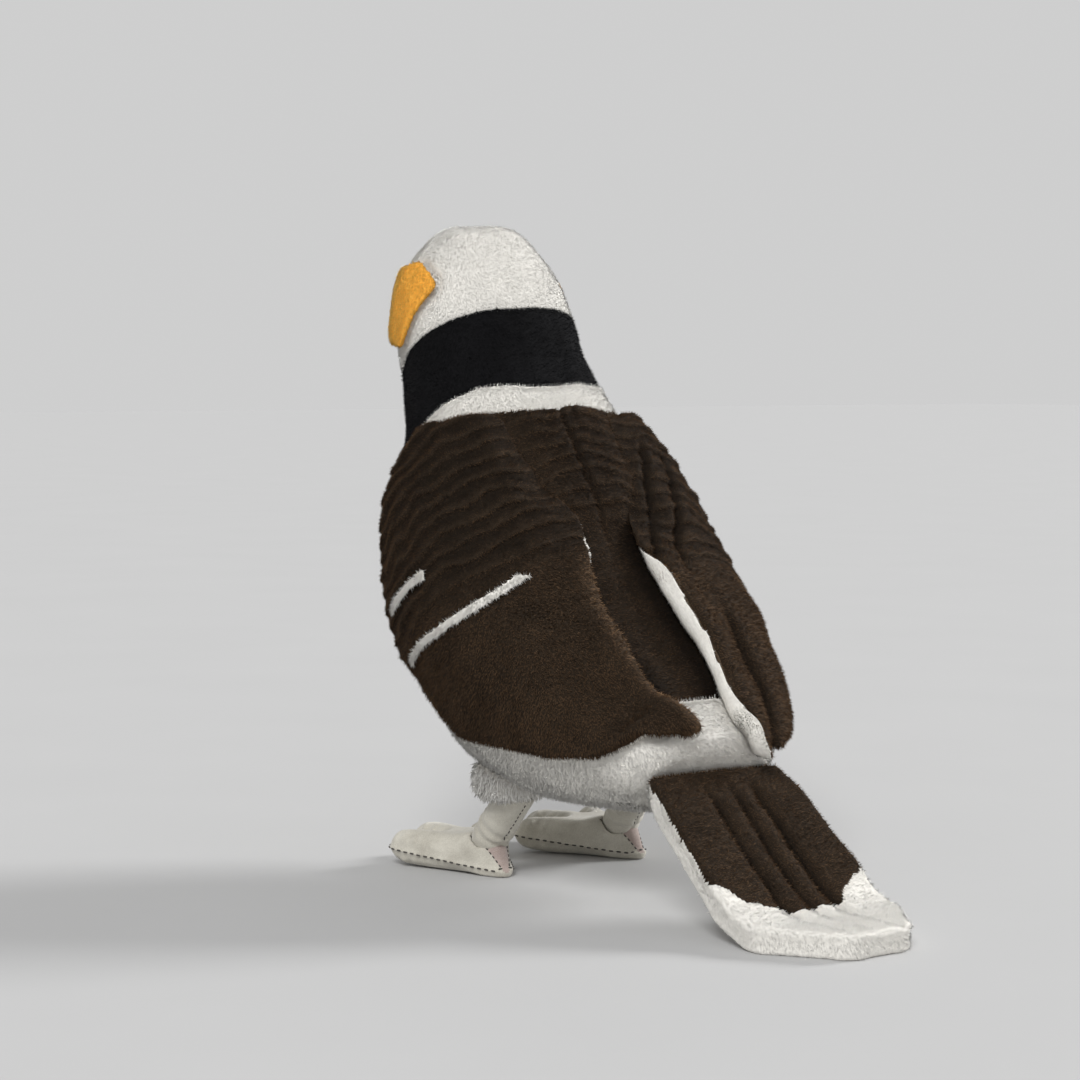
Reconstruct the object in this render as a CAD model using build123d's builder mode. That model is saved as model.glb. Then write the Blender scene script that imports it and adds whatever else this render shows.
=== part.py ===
"""Plush starling that stands on its two feet and the tip of its tail.

It is built as the pieces that are sewn and stuffed to make it.  Millimetres.  +Z is up, the bird
faces -Y, its tail points to +Y and its left wing is at +X.  The origin is on the floor, under the
middle of the bird's box.
"""

import os
from math import asin, atan2, cos, radians, sin, tan

from build123d import *

os.makedirs("parts", exist_ok=True)

# ------------------------------------------------------------------ cloth, padding and clearances
PLUSH = 2.5            # backing and pile of the body plush
WING_GAP = 0.4         # air between a wing's lining and the body plush
WING_LINING = 0.9
WING_BATTING = 2.6
WING_COVER = 1.6
BAR_THICKNESS = 0.6    # white bars sewn on a wing's cover
PATCH_THICKNESS = 1.2  # plush patch round each eye
SUEDE = 1.2            # cloth of the legs and feet
TAIL_LINING = 1.2
TAIL_BATTING = 4.8
TAIL_COVER = 2.0
MOVING_GAP = 0.35      # air between pieces that turn against each other
REACH = 200.0          # longer than any cut has to be

# ------------------------------------------------------------------ the stuffed body
# A station is a section of the body: its points on the back line and the belly line (y, z), the
# share of the way from back to belly where the body is widest, and the half width there.
STATIONS = [
    ((-90, 262), (-108, 262), 0.50, 8),      # crown
    ((-78, 256), (-119, 255), 0.50, 21),
    ((-67, 243), (-130, 240), 0.50, 30.5),
    ((-58, 226), (-132, 220), 0.48, 36),     # cheeks
    ((-51, 208), (-128, 199), 0.44, 37),     # neck
    ((-39, 190), (-123, 176), 0.36, 42),
    ((-23, 168), (-119, 148), 0.33, 54),     # shoulders
    ((-4, 142), (-112, 116), 0.32, 63),
    ((17, 117), (-98, 84), 0.34, 67),        # breast and back
    ((37, 97), (-74, 55), 0.36, 64.5),
    ((54, 80), (-36, 35), 0.42, 56),         # belly
    ((64, 69), (18, 32), 0.46, 43),
    ((67, 64), (45, 36), 0.50, 33),          # rump
    ((66, 58), (56.5, 42), 0.50, 27.5),      # tail seam
]
# How far a section's curve runs straight on from its widest and highest points, as a share of
# them: 0.55 is an ellipse, more is squarer.
BACK_FULLNESS = 0.69   # over the shoulder blades
BELLY_FULLNESS = 0.55


def station_plane(back, belly, share):
    """Plane of one body section: origin at its widest place, y towards the back."""
    back_point = Vector(0, *back)
    belly_point = Vector(0, *belly)
    depth = (back_point - belly_point).normalized()
    origin = back_point + (belly_point - back_point) * share
    return Plane(origin=origin, x_dir=(1, 0, 0), z_dir=Vector(1, 0, 0).cross(depth))


def body_form(grow):
    """The body's form, grown or shrunk all round, so that nested forms give cloth thicknesses."""
    last = len(STATIONS) - 1
    quarters = (
        (1, 1, BACK_FULLNESS),
        (-1, 1, BACK_FULLNESS),
        (-1, -1, BELLY_FULLNESS),
        (1, -1, BELLY_FULLNESS),
    )
    with BuildPart() as form:
        for index, (back, belly, share, half_width) in enumerate(STATIONS):
            plane = station_plane(back, belly, share)
            if index == 0:
                plane = plane.offset(grow)
            if index == last:
                plane = plane.offset(-grow)
            depth = (Vector(0, *back) - Vector(0, *belly)).length
            wide = half_width + grow
            rise = depth * share + grow
            drop = depth * (1 - share) + grow
            with BuildSketch(plane):
                with BuildLine():
                    for x_side, y_side, full in quarters:
                        x = x_side * wide
                        y = rise if y_side > 0 else -drop
                        Bezier((x, 0), (x, full * y), (full * x, y), (0, y))
                make_face()
        loft()
    return form.part


# ------------------------------------------------------------------ cutting helpers
def zone_above(seam):
    """Everything above a seam that is drawn in side view, as a block right across the toy."""
    with BuildPart() as zone:
        with BuildSketch(Plane.YZ):
            with BuildLine():
                line = Spline(*seam)
                Polyline(line @ 1, (seam[-1][0], REACH * 2), (seam[0][0], REACH * 2), line @ 0)
            make_face()
        extrude(amount=REACH, both=True)
    return zone.part


def cloth(outer, inner, inside=(), outside=()):
    """Cloth between two nested forms, inside every zone of one list and outside those of another."""
    with BuildPart() as piece:
        add(outer)
        for zone in inside:
            add(zone, mode=Mode.INTERSECT)
        for zone in outside:
            add(zone, mode=Mode.SUBTRACT)
        add(inner, mode=Mode.SUBTRACT)
    return piece.part


def ball(centre, radius):
    """A sphere about a point."""
    with BuildPart() as sphere:
        with Locations(centre):
            Sphere(radius)
    return sphere.part


def rod(start, end, radius):
    """A round bar between two points."""
    along = Vector(*end) - Vector(*start)
    with BuildPart() as bar:
        with BuildSketch(Plane(origin=start, z_dir=along)):
            Circle(radius)
        extrude(amount=along.length)
    return bar.part


def finish(part, name, *cutters):
    """Takes the cutters away from a piece, labels it and writes it."""
    with BuildPart() as piece:
        add(part)
        for cutter in cutters:
            add(cutter, mode=Mode.SUBTRACT)
    piece.part.label = name
    export_step(piece.part, f"parts/{name}.step")
    return piece.part


outer_form = body_form(0)
inner_form = body_form(-PLUSH)

# ------------------------------------------------------------------ seams of the plumage, side view
CAP_SEAM = [(-10, 228), (-58, 228), (-72, 221.5), (-98, 207.5), (-145, 190)]
NAPE_POINT = (-76, 173.5)      # where the white band runs out to a point on each side
COLLAR_SEAM = [(-10, 197), (-44, 196), (-54, 193.5), (-66, 185), NAPE_POINT, (-100, 160), (-145, 150)]
NAPE_SEAM = [(0, 185), (-42, 184.5), (-58, 181.5), NAPE_POINT, (-145, 150)]
BACK_SEAM = [(75, 112), (58, 82), (44, 69), (20, 62), (-10, 68), (-42, 94), (-62, 130), (-72, 185)]

above_cap_seam = zone_above(CAP_SEAM)
above_collar_seam = zone_above(COLLAR_SEAM)
above_nape_seam = zone_above(NAPE_SEAM)
above_back_seam = zone_above(BACK_SEAM)

# ------------------------------------------------------------------ eyes
EYE_PLACE = (-126.5, 229)      # y, z of an eye's middle, at the front of the cheek
EYE_DIAMETER = 9.0
EYE_DOME = 2.6
EYE_STEM = 3.0
WASHER_DIAMETER = 11.0
WASHER_THICKNESS = 1.4
WASHER_DEPTH = 1.0             # the plush curves away, so the washer sits this far behind it
EYE_STEM_LENGTH = PLUSH + WASHER_DEPTH + WASHER_THICKNESS
# An eye patch runs from a blunt corner behind the eye to just in front of it, side view.
PATCH_OUTLINE = [(-79, 236.5), (-96, 246), (-114, 244), (-129, 237), (-130.5, 226), (-121, 216), (-99, 211.5)]
PATCH_CORNER_RADIUS = 3.5


def eye_plane(side):
    """Plane on the cheek at an eye, facing straight out of the plush."""
    y, z = EYE_PLACE
    probe = Axis((0, y, z), (side, 0, 0))
    place, outward = outer_form.find_intersection_points(probe)[-1]
    return Plane(origin=place, x_dir=(0, 0, 1), z_dir=(outward.X, outward.Y, outward.Z))


def eye_bead(plane):
    """Domed bead of a safety eye on the patch, with its stem going in through the plush."""
    radius = EYE_DIAMETER / 2
    stem = EYE_STEM / 2
    stem_end = -EYE_STEM_LENGTH
    top = PATCH_THICKNESS + EYE_DOME
    curve = (radius**2 + EYE_DOME**2) / (2 * EYE_DOME)
    half_turn = asin(radius / curve) / 2
    shoulder = (curve * sin(half_turn), top - curve + curve * cos(half_turn))
    with BuildPart() as bead:
        with BuildSketch(Plane(origin=plane.origin, x_dir=plane.x_dir, z_dir=plane.y_dir * -1)):
            with BuildLine():
                Polyline((0, top), (0, stem_end), (stem, stem_end))
                Polyline((stem, stem_end), (stem, PATCH_THICKNESS), (radius, PATCH_THICKNESS))
                ThreePointArc((radius, PATCH_THICKNESS), shoulder, (0, top))
            make_face()
        revolve(axis=Axis(plane.origin, plane.z_dir))
    return bead.part


def eye_washer(plane, bead):
    """Washer pressed on the stem behind the plush."""
    with BuildPart() as washer:
        with BuildSketch(plane.offset(-PLUSH - WASHER_DEPTH)):
            Circle(WASHER_DIAMETER / 2)
        extrude(amount=-WASHER_THICKNESS)
        add(bead, mode=Mode.SUBTRACT)
    return washer.part


def eye_socket(plane):
    """Room for the stem and the washer in the head's filling."""
    with BuildPart() as socket:
        with BuildSketch(plane.offset(-EYE_STEM_LENGTH)):
            Circle(WASHER_DIAMETER / 2)
        extrude(amount=WASHER_THICKNESS)
        with BuildSketch(plane.offset(-EYE_STEM_LENGTH + WASHER_THICKNESS)):
            Circle(EYE_STEM / 2)
        extrude(amount=EYE_STEM_LENGTH)
    return socket.part


def patch_zone(side):
    """Outline of an eye patch, seen from the side."""
    with BuildPart() as zone:
        with BuildSketch(Plane.YZ) as outline:
            with BuildLine():
                Polyline(*PATCH_OUTLINE, close=True)
            make_face()
            fillet(outline.vertices(), PATCH_CORNER_RADIUS)
        extrude(amount=side * REACH)
    return zone.part


patch_form = body_form(PATCH_THICKNESS)
beads = {}
sockets = []
for side, name in ((1, "left"), (-1, "right")):
    plane = eye_plane(side)
    beads[name] = finish(eye_bead(plane), f"{name}_eye")
    finish(eye_washer(plane, beads[name]), f"{name}_eye_washer")
    sockets.append(eye_socket(plane))
    patch = cloth(patch_form, outer_form, inside=[patch_zone(side)])
    finish(patch, f"{name}_eye_patch", beads[name])

# ------------------------------------------------------------------ bill
BILL_ROOT = (0, -124, 220)
BILL_TIP = (0, -157, 211)
BILL_ROOT_RADIUS = 8.5
BILL_TIP_RADIUS = 1.5


def bill_half(keep):
    """Upper or lower half of the tapering bill, seated on the face."""
    along = Vector(*BILL_TIP) - Vector(*BILL_ROOT)
    with BuildPart() as half:
        with BuildSketch(Plane(origin=BILL_ROOT, x_dir=(1, 0, 0), z_dir=along)):
            Circle(BILL_ROOT_RADIUS)
        with BuildSketch(Plane(origin=BILL_TIP, x_dir=(1, 0, 0), z_dir=along)):
            Circle(BILL_TIP_RADIUS)
        loft()
        gape = Plane(origin=BILL_ROOT, x_dir=(1, 0, 0), z_dir=Vector(-1, 0, 0).cross(along))
        split(bisect_by=gape, keep=keep)
        add(outer_form, mode=Mode.SUBTRACT)
    return half.part


finish(bill_half(Keep.TOP), "upper_bill")
finish(bill_half(Keep.BOTTOM), "lower_bill")

# ------------------------------------------------------------------ legs and hips: where they are
# For each side: hip, ankle and the way the foot points, in degrees towards the bird's left.
HIP_HEIGHT = 35.0
ANKLE_HEIGHT = 14.5
LEGS = {
    "left": {"hip": (30.5, -22.0), "ankle": (31.5, -40.0), "yaw": 0.0},
    "right": {"hip": (-30.5, -22.0), "ankle": (-33.5, -40.0), "yaw": 13.0},
}
LEG_RADIUS = 7.5
LEG_SWING = 15.0       # degrees either way, at the hip and at the ankle
WIRE_RADIUS = 1.1
CUFF_RADIUS = 13.5
CUFF_BOTTOM = 30.5
CUFF_TOP = 52.0
CUFF_FORWARD = 4.0     # the cuff sits this far in front of the hip
CROSSBAR_HEIGHT = 58.0


def leg_points(name):
    """Hip and ankle centres of one leg."""
    leg = LEGS[name]
    return Vector(*leg["hip"], HIP_HEIGHT), Vector(*leg["ankle"], ANKLE_HEIGHT)


def joint_room(centre, towards):
    """Space that a leg's round end and its swinging tube need about a joint."""
    length = (towards - centre).length
    radius = LEG_RADIUS + MOVING_GAP
    with BuildPart() as room:
        with Locations(centre):
            Sphere(radius)
        with BuildSketch(Plane(origin=centre, z_dir=towards - centre)):
            Circle(radius)
        extrude(amount=length, taper=-LEG_SWING - 1)
    return room.part


def thigh_cuff(name):
    """Fluffy plush cuff under the belly that the leg goes into."""
    hip, ankle = leg_points(name)
    with BuildPart() as cuff:
        with BuildSketch(Plane.XY.offset(CUFF_BOTTOM)):
            with Locations((hip.X, hip.Y - CUFF_FORWARD)):
                Circle(CUFF_RADIUS)
        extrude(amount=CUFF_TOP - CUFF_BOTTOM)
        add(outer_form, mode=Mode.SUBTRACT)
    return cuff.part


hip_rooms = []
for name in LEGS:
    hip, ankle = leg_points(name)
    hip_rooms.append(joint_room(hip, ankle))

with BuildPart() as armature:
    ends = []
    for name in LEGS:
        hip, ankle = leg_points(name)
        ends.append(Vector(hip.X, hip.Y, CROSSBAR_HEIGHT))
        add(rod(hip, ends[-1], WIRE_RADIUS))
        add(ball(ends[-1], WIRE_RADIUS))
    add(rod(ends[0], ends[1], WIRE_RADIUS))
    for room in hip_rooms:
        add(room, mode=Mode.SUBTRACT)
hip_armature = finish(armature.part, "hip_armature")

for name in LEGS:
    finish(thigh_cuff(name), f"{name}_thigh_cuff", hip_armature, *hip_rooms)

# ------------------------------------------------------------------ body panels and what they hold
POUCH_MIDDLE = (0, -18, 78)
POUCH_RADIUS = 27.0
POUCH_HEIGHT = 26.0
POUCH_ROUNDING = 11.0
NECK_STUFFING_SEAM = [(-10, 192), (-60, 184), (-145, 160)]

head_cap = cloth(outer_form, inner_form, inside=[above_cap_seam])
finish(head_cap, "head_cap", *beads.values())

with BuildPart() as nape_zone:
    with BuildSketch(Plane.YZ):
        with Locations((NAPE_POINT[0] + REACH, NAPE_POINT[1])):
            Rectangle(2 * REACH, REACH)
    extrude(amount=REACH, both=True)

collar_band = cloth(outer_form, inner_form, [above_collar_seam], [above_cap_seam])
finish(collar_band, "collar_band")

nape_band = cloth(outer_form, inner_form, [above_nape_seam, nape_zone.part], [above_collar_seam])
finish(nape_band, "nape_band")

over_the_back = [above_nape_seam, above_collar_seam]
back_panel = cloth(outer_form, inner_form, [above_back_seam], over_the_back)
finish(back_panel, "back_panel")

belly_panel = cloth(outer_form, inner_form, [], [above_back_seam, *over_the_back])
finish(belly_panel, "belly_panel", hip_armature, *hip_rooms)

with BuildPart() as pouch:
    with Locations(POUCH_MIDDLE):
        Cylinder(POUCH_RADIUS, POUCH_HEIGHT)
    fillet(pouch.edges(), radius=POUCH_ROUNDING)
pellet_pouch = finish(pouch.part, "pellet_pouch")

above_neck = zone_above(NECK_STUFFING_SEAM)
with BuildPart() as head_filling:
    add(inner_form)
    add(above_neck, mode=Mode.INTERSECT)
finish(head_filling.part, "head_stuffing", *sockets)

with BuildPart() as body_filling:
    add(inner_form)
    add(above_neck, mode=Mode.SUBTRACT)
finish(body_filling.part, "body_stuffing", pellet_pouch, hip_armature, *hip_rooms)

# ------------------------------------------------------------------ wings
# Outline of a wing in side view (y, z), from the tip along the lower edge and up the front edge,
# and the inner edge of each wing seen from behind (distance from the middle, z).
WING_TIP = {"left": (71, 71), "right": (78, 62)}
WING_LOWER_EDGE = [(66, 62.5), (45, 59), (20, 60), (-6, 64), (-36, 76), (-62, 98)]
WING_FRONT_EDGE = [(-77, 124), (-80, 148), (-72, 170), (-62, 190)]
WING_INNER_EDGE = {
    "left": [(30, 192), (22, 160), (18, 145), (21, 127), (24, 108), (22, 90), (14, 77), (4, 66)],
    "right": [(26, 192), (17, 160), (9, 134), (9, 112), (9, 95), (8, 80), (9, 68), (14, 56)],
}
# The seam where the quilted shoulder ends and the free wing begins: a straight fold from the inner
# edge down to the front edge, lifted to lie just outside the cloth.
FOLD_TOP = (20.0, -4.0, 150.0)
FOLD_BOTTOM = (66.0, -66.0, 97.0)
FOLD_OUTWARD = (0.80, 0.42, 0.43)
FOLD_GAP = 0.5


def wing_zone(name, side):
    """Block that trims nested forms to one wing's outline."""
    tip = WING_TIP[name]
    with BuildPart() as zone:
        with BuildSketch(Plane.YZ):
            with BuildLine():
                edge = Spline(tip, *WING_LOWER_EDGE, *WING_FRONT_EDGE)
                Polyline(edge @ 1, (edge @ 1) + (REACH, 0), (edge @ 0) + (REACH, 0), edge @ 0)
            make_face()
        extrude(amount=side * REACH)
        with BuildSketch(Plane.XZ):
            with BuildLine():
                inner = Spline(*[(side * x, z) for x, z in WING_INNER_EDGE[name]])
                far = side * REACH
                Polyline(inner @ 1, (far, (inner @ 1).Y), (far, (inner @ 0).Y), inner @ 0)
            make_face()
        extrude(amount=REACH, both=True, mode=Mode.INTERSECT)
        add(above_nape_seam, mode=Mode.SUBTRACT)
        add(above_collar_seam, mode=Mode.SUBTRACT)
    return zone.part


def fold_plane(side):
    """Plane that parts the free wing from the quilted shoulder; z points up to the shoulder."""
    top = Vector(side * FOLD_TOP[0], *FOLD_TOP[1:])
    bottom = Vector(side * FOLD_BOTTOM[0], *FOLD_BOTTOM[1:])
    outward = Vector(side * FOLD_OUTWARD[0], *FOLD_OUTWARD[1:])
    along = (bottom - top).normalized()
    upward = along.cross(outward) * side
    return Plane(origin=top, x_dir=along, z_dir=upward)


def bar_zone(points, width, side):
    """Strip across a wing, drawn in side view."""
    with BuildPart() as zone:
        with BuildSketch(Plane.YZ):
            with BuildLine():
                Spline(*points)
            trace(line_width=width)
        extrude(amount=side * REACH)
    return zone.part


BAR_WIDTH = 3.4
WING_BARS = {
    "left": [
        [(-27, 123), (-38, 117), (-52, 107)],
        [(9, 124), (3, 114), (-8, 106), (-24, 97), (-40, 86)],
    ],
    "right": [
        [(-27, 123), (-38, 117), (-52, 107)],
        [(-8, 106), (-24, 97), (-40, 86)],
    ],
}

lining_form = body_form(WING_GAP)
batting_form = body_form(WING_GAP + WING_LINING)
cover_inner_form = body_form(WING_GAP + WING_LINING + WING_BATTING)
cover_form = body_form(WING_GAP + WING_LINING + WING_BATTING + WING_COVER)
bar_form = body_form(WING_GAP + WING_LINING + WING_BATTING + WING_COVER + BAR_THICKNESS)

for side, name in ((1, "left"), (-1, "right")):
    zone = wing_zone(name, side)
    fold = fold_plane(side)
    with BuildPart() as shoulder_zone:
        add(zone)
        split(bisect_by=fold, keep=Keep.TOP)
    with BuildPart() as free_zone:
        add(zone)
        split(bisect_by=fold.offset(-FOLD_GAP), keep=Keep.BOTTOM)
    shoulder = [shoulder_zone.part]
    free = [free_zone.part]
    finish(cloth(cover_form, cover_inner_form, shoulder), f"{name}_shoulder_quilt")
    finish(cloth(cover_inner_form, outer_form, shoulder), f"{name}_shoulder_batting")
    finish(cloth(batting_form, lining_form, free), f"{name}_wing_lining")
    finish(cloth(cover_inner_form, batting_form, free), f"{name}_wing_batting")
    finish(cloth(cover_form, cover_inner_form, free), f"{name}_wing_cover")
    with BuildPart() as bars:
        for points in WING_BARS[name]:
            add(cloth(bar_form, cover_form, [*free, bar_zone(points, BAR_WIDTH, side)]))
    finish(bars.part, f"{name}_wing_bars")

# ------------------------------------------------------------------ tail
TAIL_THICKNESS = TAIL_LINING + TAIL_BATTING + TAIL_COVER
TAIL_BEND = 119.0              # y where the tail comes down and lies along the floor
TAIL_REACH = 159.0             # the layers are drawn out to this y, just past the feathers' tips
TAIL_BEND_RADIUS = 34.0
TAIL_FLEX = 20.0               # degrees either way at the seam
FEATHERS = [(-23, -26, 127), (-8, -10, 147.9), (8, 10, 147.9), (23, 26, 127)]   # root x, tip x, tip y
TIP_HULL_RADIUS = 9.0          # the scallops between the feathers' tips are no deeper than this hull
FEATHER_ROOT_RADIUS = 8.5
FEATHER_TIP_RADIUS = 9.5
FEATHER_ROOT = 8.0             # the feathers' round roots lie this far behind the tail seam
TIP_SEAM_SIDE = 104.0          # y of the white tip's seam at the tail's sides and in its middle
TIP_SEAM_MIDDLE = 123.0

seam_back = Vector(0, *STATIONS[-1][0])
seam_belly = Vector(0, *STATIONS[-1][1])
tail_seam = (seam_back + seam_belly) / 2
seam_upward = (seam_back - seam_belly).normalized()
tailward = Vector(1, 0, 0).cross(seam_upward) * -1
tail_hinge = tail_seam + tailward * MOVING_GAP
tail_fall = atan2(tail_hinge.Z - TAIL_THICKNESS / 2, TAIL_BEND - tail_hinge.Y)


def tail_edge(height):
    """Side view of one layer's edge, at a height over the tail's underside."""
    over = height - TAIL_THICKNESS / 2
    root = (tail_hinge.Y + over * sin(tail_fall), tail_hinge.Z + over * cos(tail_fall))
    bend = (TAIL_BEND + over * tan(tail_fall / 2), height)
    return FilletPolyline(root, bend, (TAIL_REACH, height), radius=TAIL_BEND_RADIUS - over)


def tail_layer(low, high):
    """One layer of the tail between two heights, as wide as the plan."""
    with BuildPart() as layer:
        with BuildSketch(Plane.YZ):
            with BuildLine():
                under = tail_edge(low)
                over = tail_edge(high)
                Line(under @ 0, over @ 0)
                Line(under @ 1, over @ 1)
            make_face()
        extrude(amount=REACH, both=True)
        add(tail_plan, mode=Mode.INTERSECT)
        add(tail_nose, mode=Mode.INTERSECT)
    return layer.part


with BuildPart() as plan:
    for root_x, tip_x, tip_y in FEATHERS:
        with BuildSketch():
            with Locations((root_x, tail_hinge.Y + FEATHER_ROOT)):
                Circle(FEATHER_ROOT_RADIUS)
            with Locations((tip_x, tip_y)):
                Circle(FEATHER_TIP_RADIUS)
            make_hull()
        extrude(amount=REACH / 2)
    with BuildSketch():
        for root_x, tip_x, tip_y in FEATHERS:
            with Locations((root_x, tail_hinge.Y + FEATHER_ROOT), (tip_x, tip_y)):
                Circle(TIP_HULL_RADIUS)
        make_hull()
    extrude(amount=REACH / 2)
tail_plan = plan.part

with BuildPart() as nose:
    with BuildSketch(Plane(origin=tail_hinge, x_dir=tailward, z_dir=(-1, 0, 0))):
        with BuildLine():
            lean = radians(90 - TAIL_FLEX - 1)
            slant = (REACH * cos(lean), REACH * sin(lean))
            Polyline((0, 0), slant, (REACH, slant[1]), (REACH, -slant[1]), (slant[0], -slant[1]), (0, 0))
        make_face()
    extrude(amount=REACH, both=True)
tail_nose = nose.part

with BuildPart() as tip_zone:
    with BuildSketch():
        with BuildLine():
            wide = REACH / 4
            seam = ThreePointArc((-wide, TIP_SEAM_SIDE), (0, TIP_SEAM_MIDDLE), (wide, TIP_SEAM_SIDE))
            Polyline(seam @ 0, (-wide, REACH), (wide, REACH), seam @ 1)
        make_face()
    extrude(amount=REACH / 2)

tail_lining_top = TAIL_LINING + TAIL_BATTING
finish(tail_layer(0, TAIL_LINING), "tail_lining")
finish(tail_layer(TAIL_LINING, tail_lining_top), "tail_batting")
tail_top = tail_layer(tail_lining_top, TAIL_THICKNESS)
finish(tail_top, "tail_cover", tip_zone.part)
with BuildPart() as tail_tip:
    add(tail_top)
    add(tip_zone.part, mode=Mode.INTERSECT)
finish(tail_tip.part, "tail_tip_panel")

# ------------------------------------------------------------------ legs
for name in LEGS:
    hip, ankle = leg_points(name)
    core_radius = LEG_RADIUS - SUEDE
    wire = rod(ankle, hip, WIRE_RADIUS)
    with BuildPart() as core:
        for centre in (hip, ankle):
            add(ball(centre, core_radius))
        add(rod(ankle, hip, core_radius))
    with BuildPart() as tube:
        for centre in (hip, ankle):
            add(ball(centre, LEG_RADIUS))
        add(rod(ankle, hip, LEG_RADIUS))
        add(core.part, mode=Mode.SUBTRACT)
    finish(tube.part, f"{name}_leg_sleeve")
    finish(core.part, f"{name}_leg_filling", wire)
    finish(wire, f"{name}_leg_wire")

# ------------------------------------------------------------------ feet
# A foot lies in its own frame under the ankle: x is where the middle toe points, y is to its left.
TOE_ANGLES = (-29.0, 0.0, 29.0)
TOE_LENGTHS = (40.0, 47.0, 40.0)   # from the ankle to the middle of each toe's round end
TOE_TIP_RADIUS = 5.0
TOE_ROOT_RADIUS = 7.5
TOE_ROOT = 10.0
HEEL_LENGTH = 13.0                 # from the ankle back to the heel
HEEL_RADIUS = 4.0
SOLE_THICKNESS = 2.0
FOOT_HEIGHT = 15.5                 # at the ankle
TOE_HEIGHT = 12.0
TOE_SPRING = 5.0                   # how far the toes' tips are lifted off the floor
FLAT_LENGTH = 20.0                 # from the ankle forward, where the sole leaves the floor
GUSSET_LENGTH = 5.0                # length of the heel gusset along the foot


def foot_frame(name):
    """Frame of one foot, on the floor under its ankle."""
    hip, ankle = leg_points(name)
    yaw = radians(LEGS[name]["yaw"])
    forward = Vector(sin(yaw), -cos(yaw), 0)
    return Plane(origin=(ankle.X, ankle.Y, 0), x_dir=forward, z_dir=(0, 0, 1))


def foot_plan(frame, inset):
    """Heel and three toes seen from above, drawn in by the cloth where it is inset."""
    with BuildPart() as plan:
        for angle, length in zip(TOE_ANGLES, TOE_LENGTHS):
            with BuildSketch(frame):
                turn = radians(angle)
                with Locations((TOE_ROOT * cos(turn), TOE_ROOT * sin(turn))):
                    Circle(TOE_ROOT_RADIUS - inset)
                with Locations((length * cos(turn), length * sin(turn))):
                    Circle(TOE_TIP_RADIUS - inset)
                make_hull()
            extrude(amount=REACH / 2)
        with BuildSketch(frame):
            with Locations((HEEL_RADIUS - HEEL_LENGTH, 0)):
                Circle(HEEL_RADIUS - inset)
            for angle in TOE_ANGLES:
                turn = radians(angle)
                with Locations((TOE_ROOT * cos(turn), TOE_ROOT * sin(turn))):
                    Circle(TOE_ROOT_RADIUS - inset)
            make_hull()
        extrude(amount=REACH / 2)
    return plan.part


def foot_layer(frame, plan, low, drop):
    """The foot from a height over the sole's underside up to a depth under its top."""
    toe = max(TOE_LENGTHS) + TOE_TIP_RADIUS
    side_view = Plane(origin=frame.origin, x_dir=frame.x_dir, z_dir=frame.y_dir * -1)
    with BuildPart() as layer:
        with BuildSketch(side_view):
            with BuildLine():
                flat = Line((-HEEL_LENGTH, low), (FLAT_LENGTH, low))
                spring = TangentArc(flat @ 1, (toe, low + TOE_SPRING), tangent=(1, 0))
                top = Spline(
                    (toe, TOE_HEIGHT - drop),
                    (FLAT_LENGTH, FOOT_HEIGHT - drop - 1),
                    (0, FOOT_HEIGHT - drop),
                    (-HEEL_LENGTH, FOOT_HEIGHT - drop),
                )
                Line(spring @ 1, top @ 0)
                Line(top @ 1, flat @ 0)
            make_face()
        extrude(amount=REACH, both=True)
        add(plan, mode=Mode.INTERSECT)
    return layer.part


for name in LEGS:
    hip, ankle = leg_points(name)
    frame = foot_frame(name)
    ankle_room = joint_room(ankle, hip)
    outer_plan = foot_plan(frame, 0)
    inner_plan = foot_plan(frame, SUEDE)
    with BuildPart() as heel_zone:
        with BuildSketch(frame):
            with Locations((-HEEL_LENGTH, 0)):
                Rectangle(2 * GUSSET_LENGTH, REACH)
        extrude(amount=REACH)
    with BuildPart() as sole:
        add(foot_layer(frame, outer_plan, 0, 0))
        add(foot_layer(frame, outer_plan, SOLE_THICKNESS, 0), mode=Mode.SUBTRACT)
    filling = foot_layer(frame, inner_plan, SOLE_THICKNESS, SUEDE)
    with BuildPart() as upper:
        add(foot_layer(frame, outer_plan, SOLE_THICKNESS, 0))
        add(filling, mode=Mode.SUBTRACT)
    with BuildPart() as gusset:
        add(upper.part)
        add(heel_zone.part, mode=Mode.INTERSECT)
    finish(sole.part, f"{name}_foot_sole")
    finish(filling, f"{name}_foot_filling", ankle_room)
    finish(upper.part, f"{name}_foot_upper", heel_zone.part, ankle_room)
    finish(gusset.part, f"{name}_heel_gusset", ankle_room)
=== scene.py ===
# %% [markdown]
# # A plush starling
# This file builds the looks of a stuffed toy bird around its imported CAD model. Each cell makes one
# piece of the toy, and the note above it says what the piece is on the real toy and why it is made
# this way. Everything is in metres, in the CAD model's own frame: +Z is up, the bird faces -Y.

# %% Tools
import math

import bpy
import numpy as np
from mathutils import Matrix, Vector, noise
from mathutils.bvhtree import BVHTree


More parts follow.
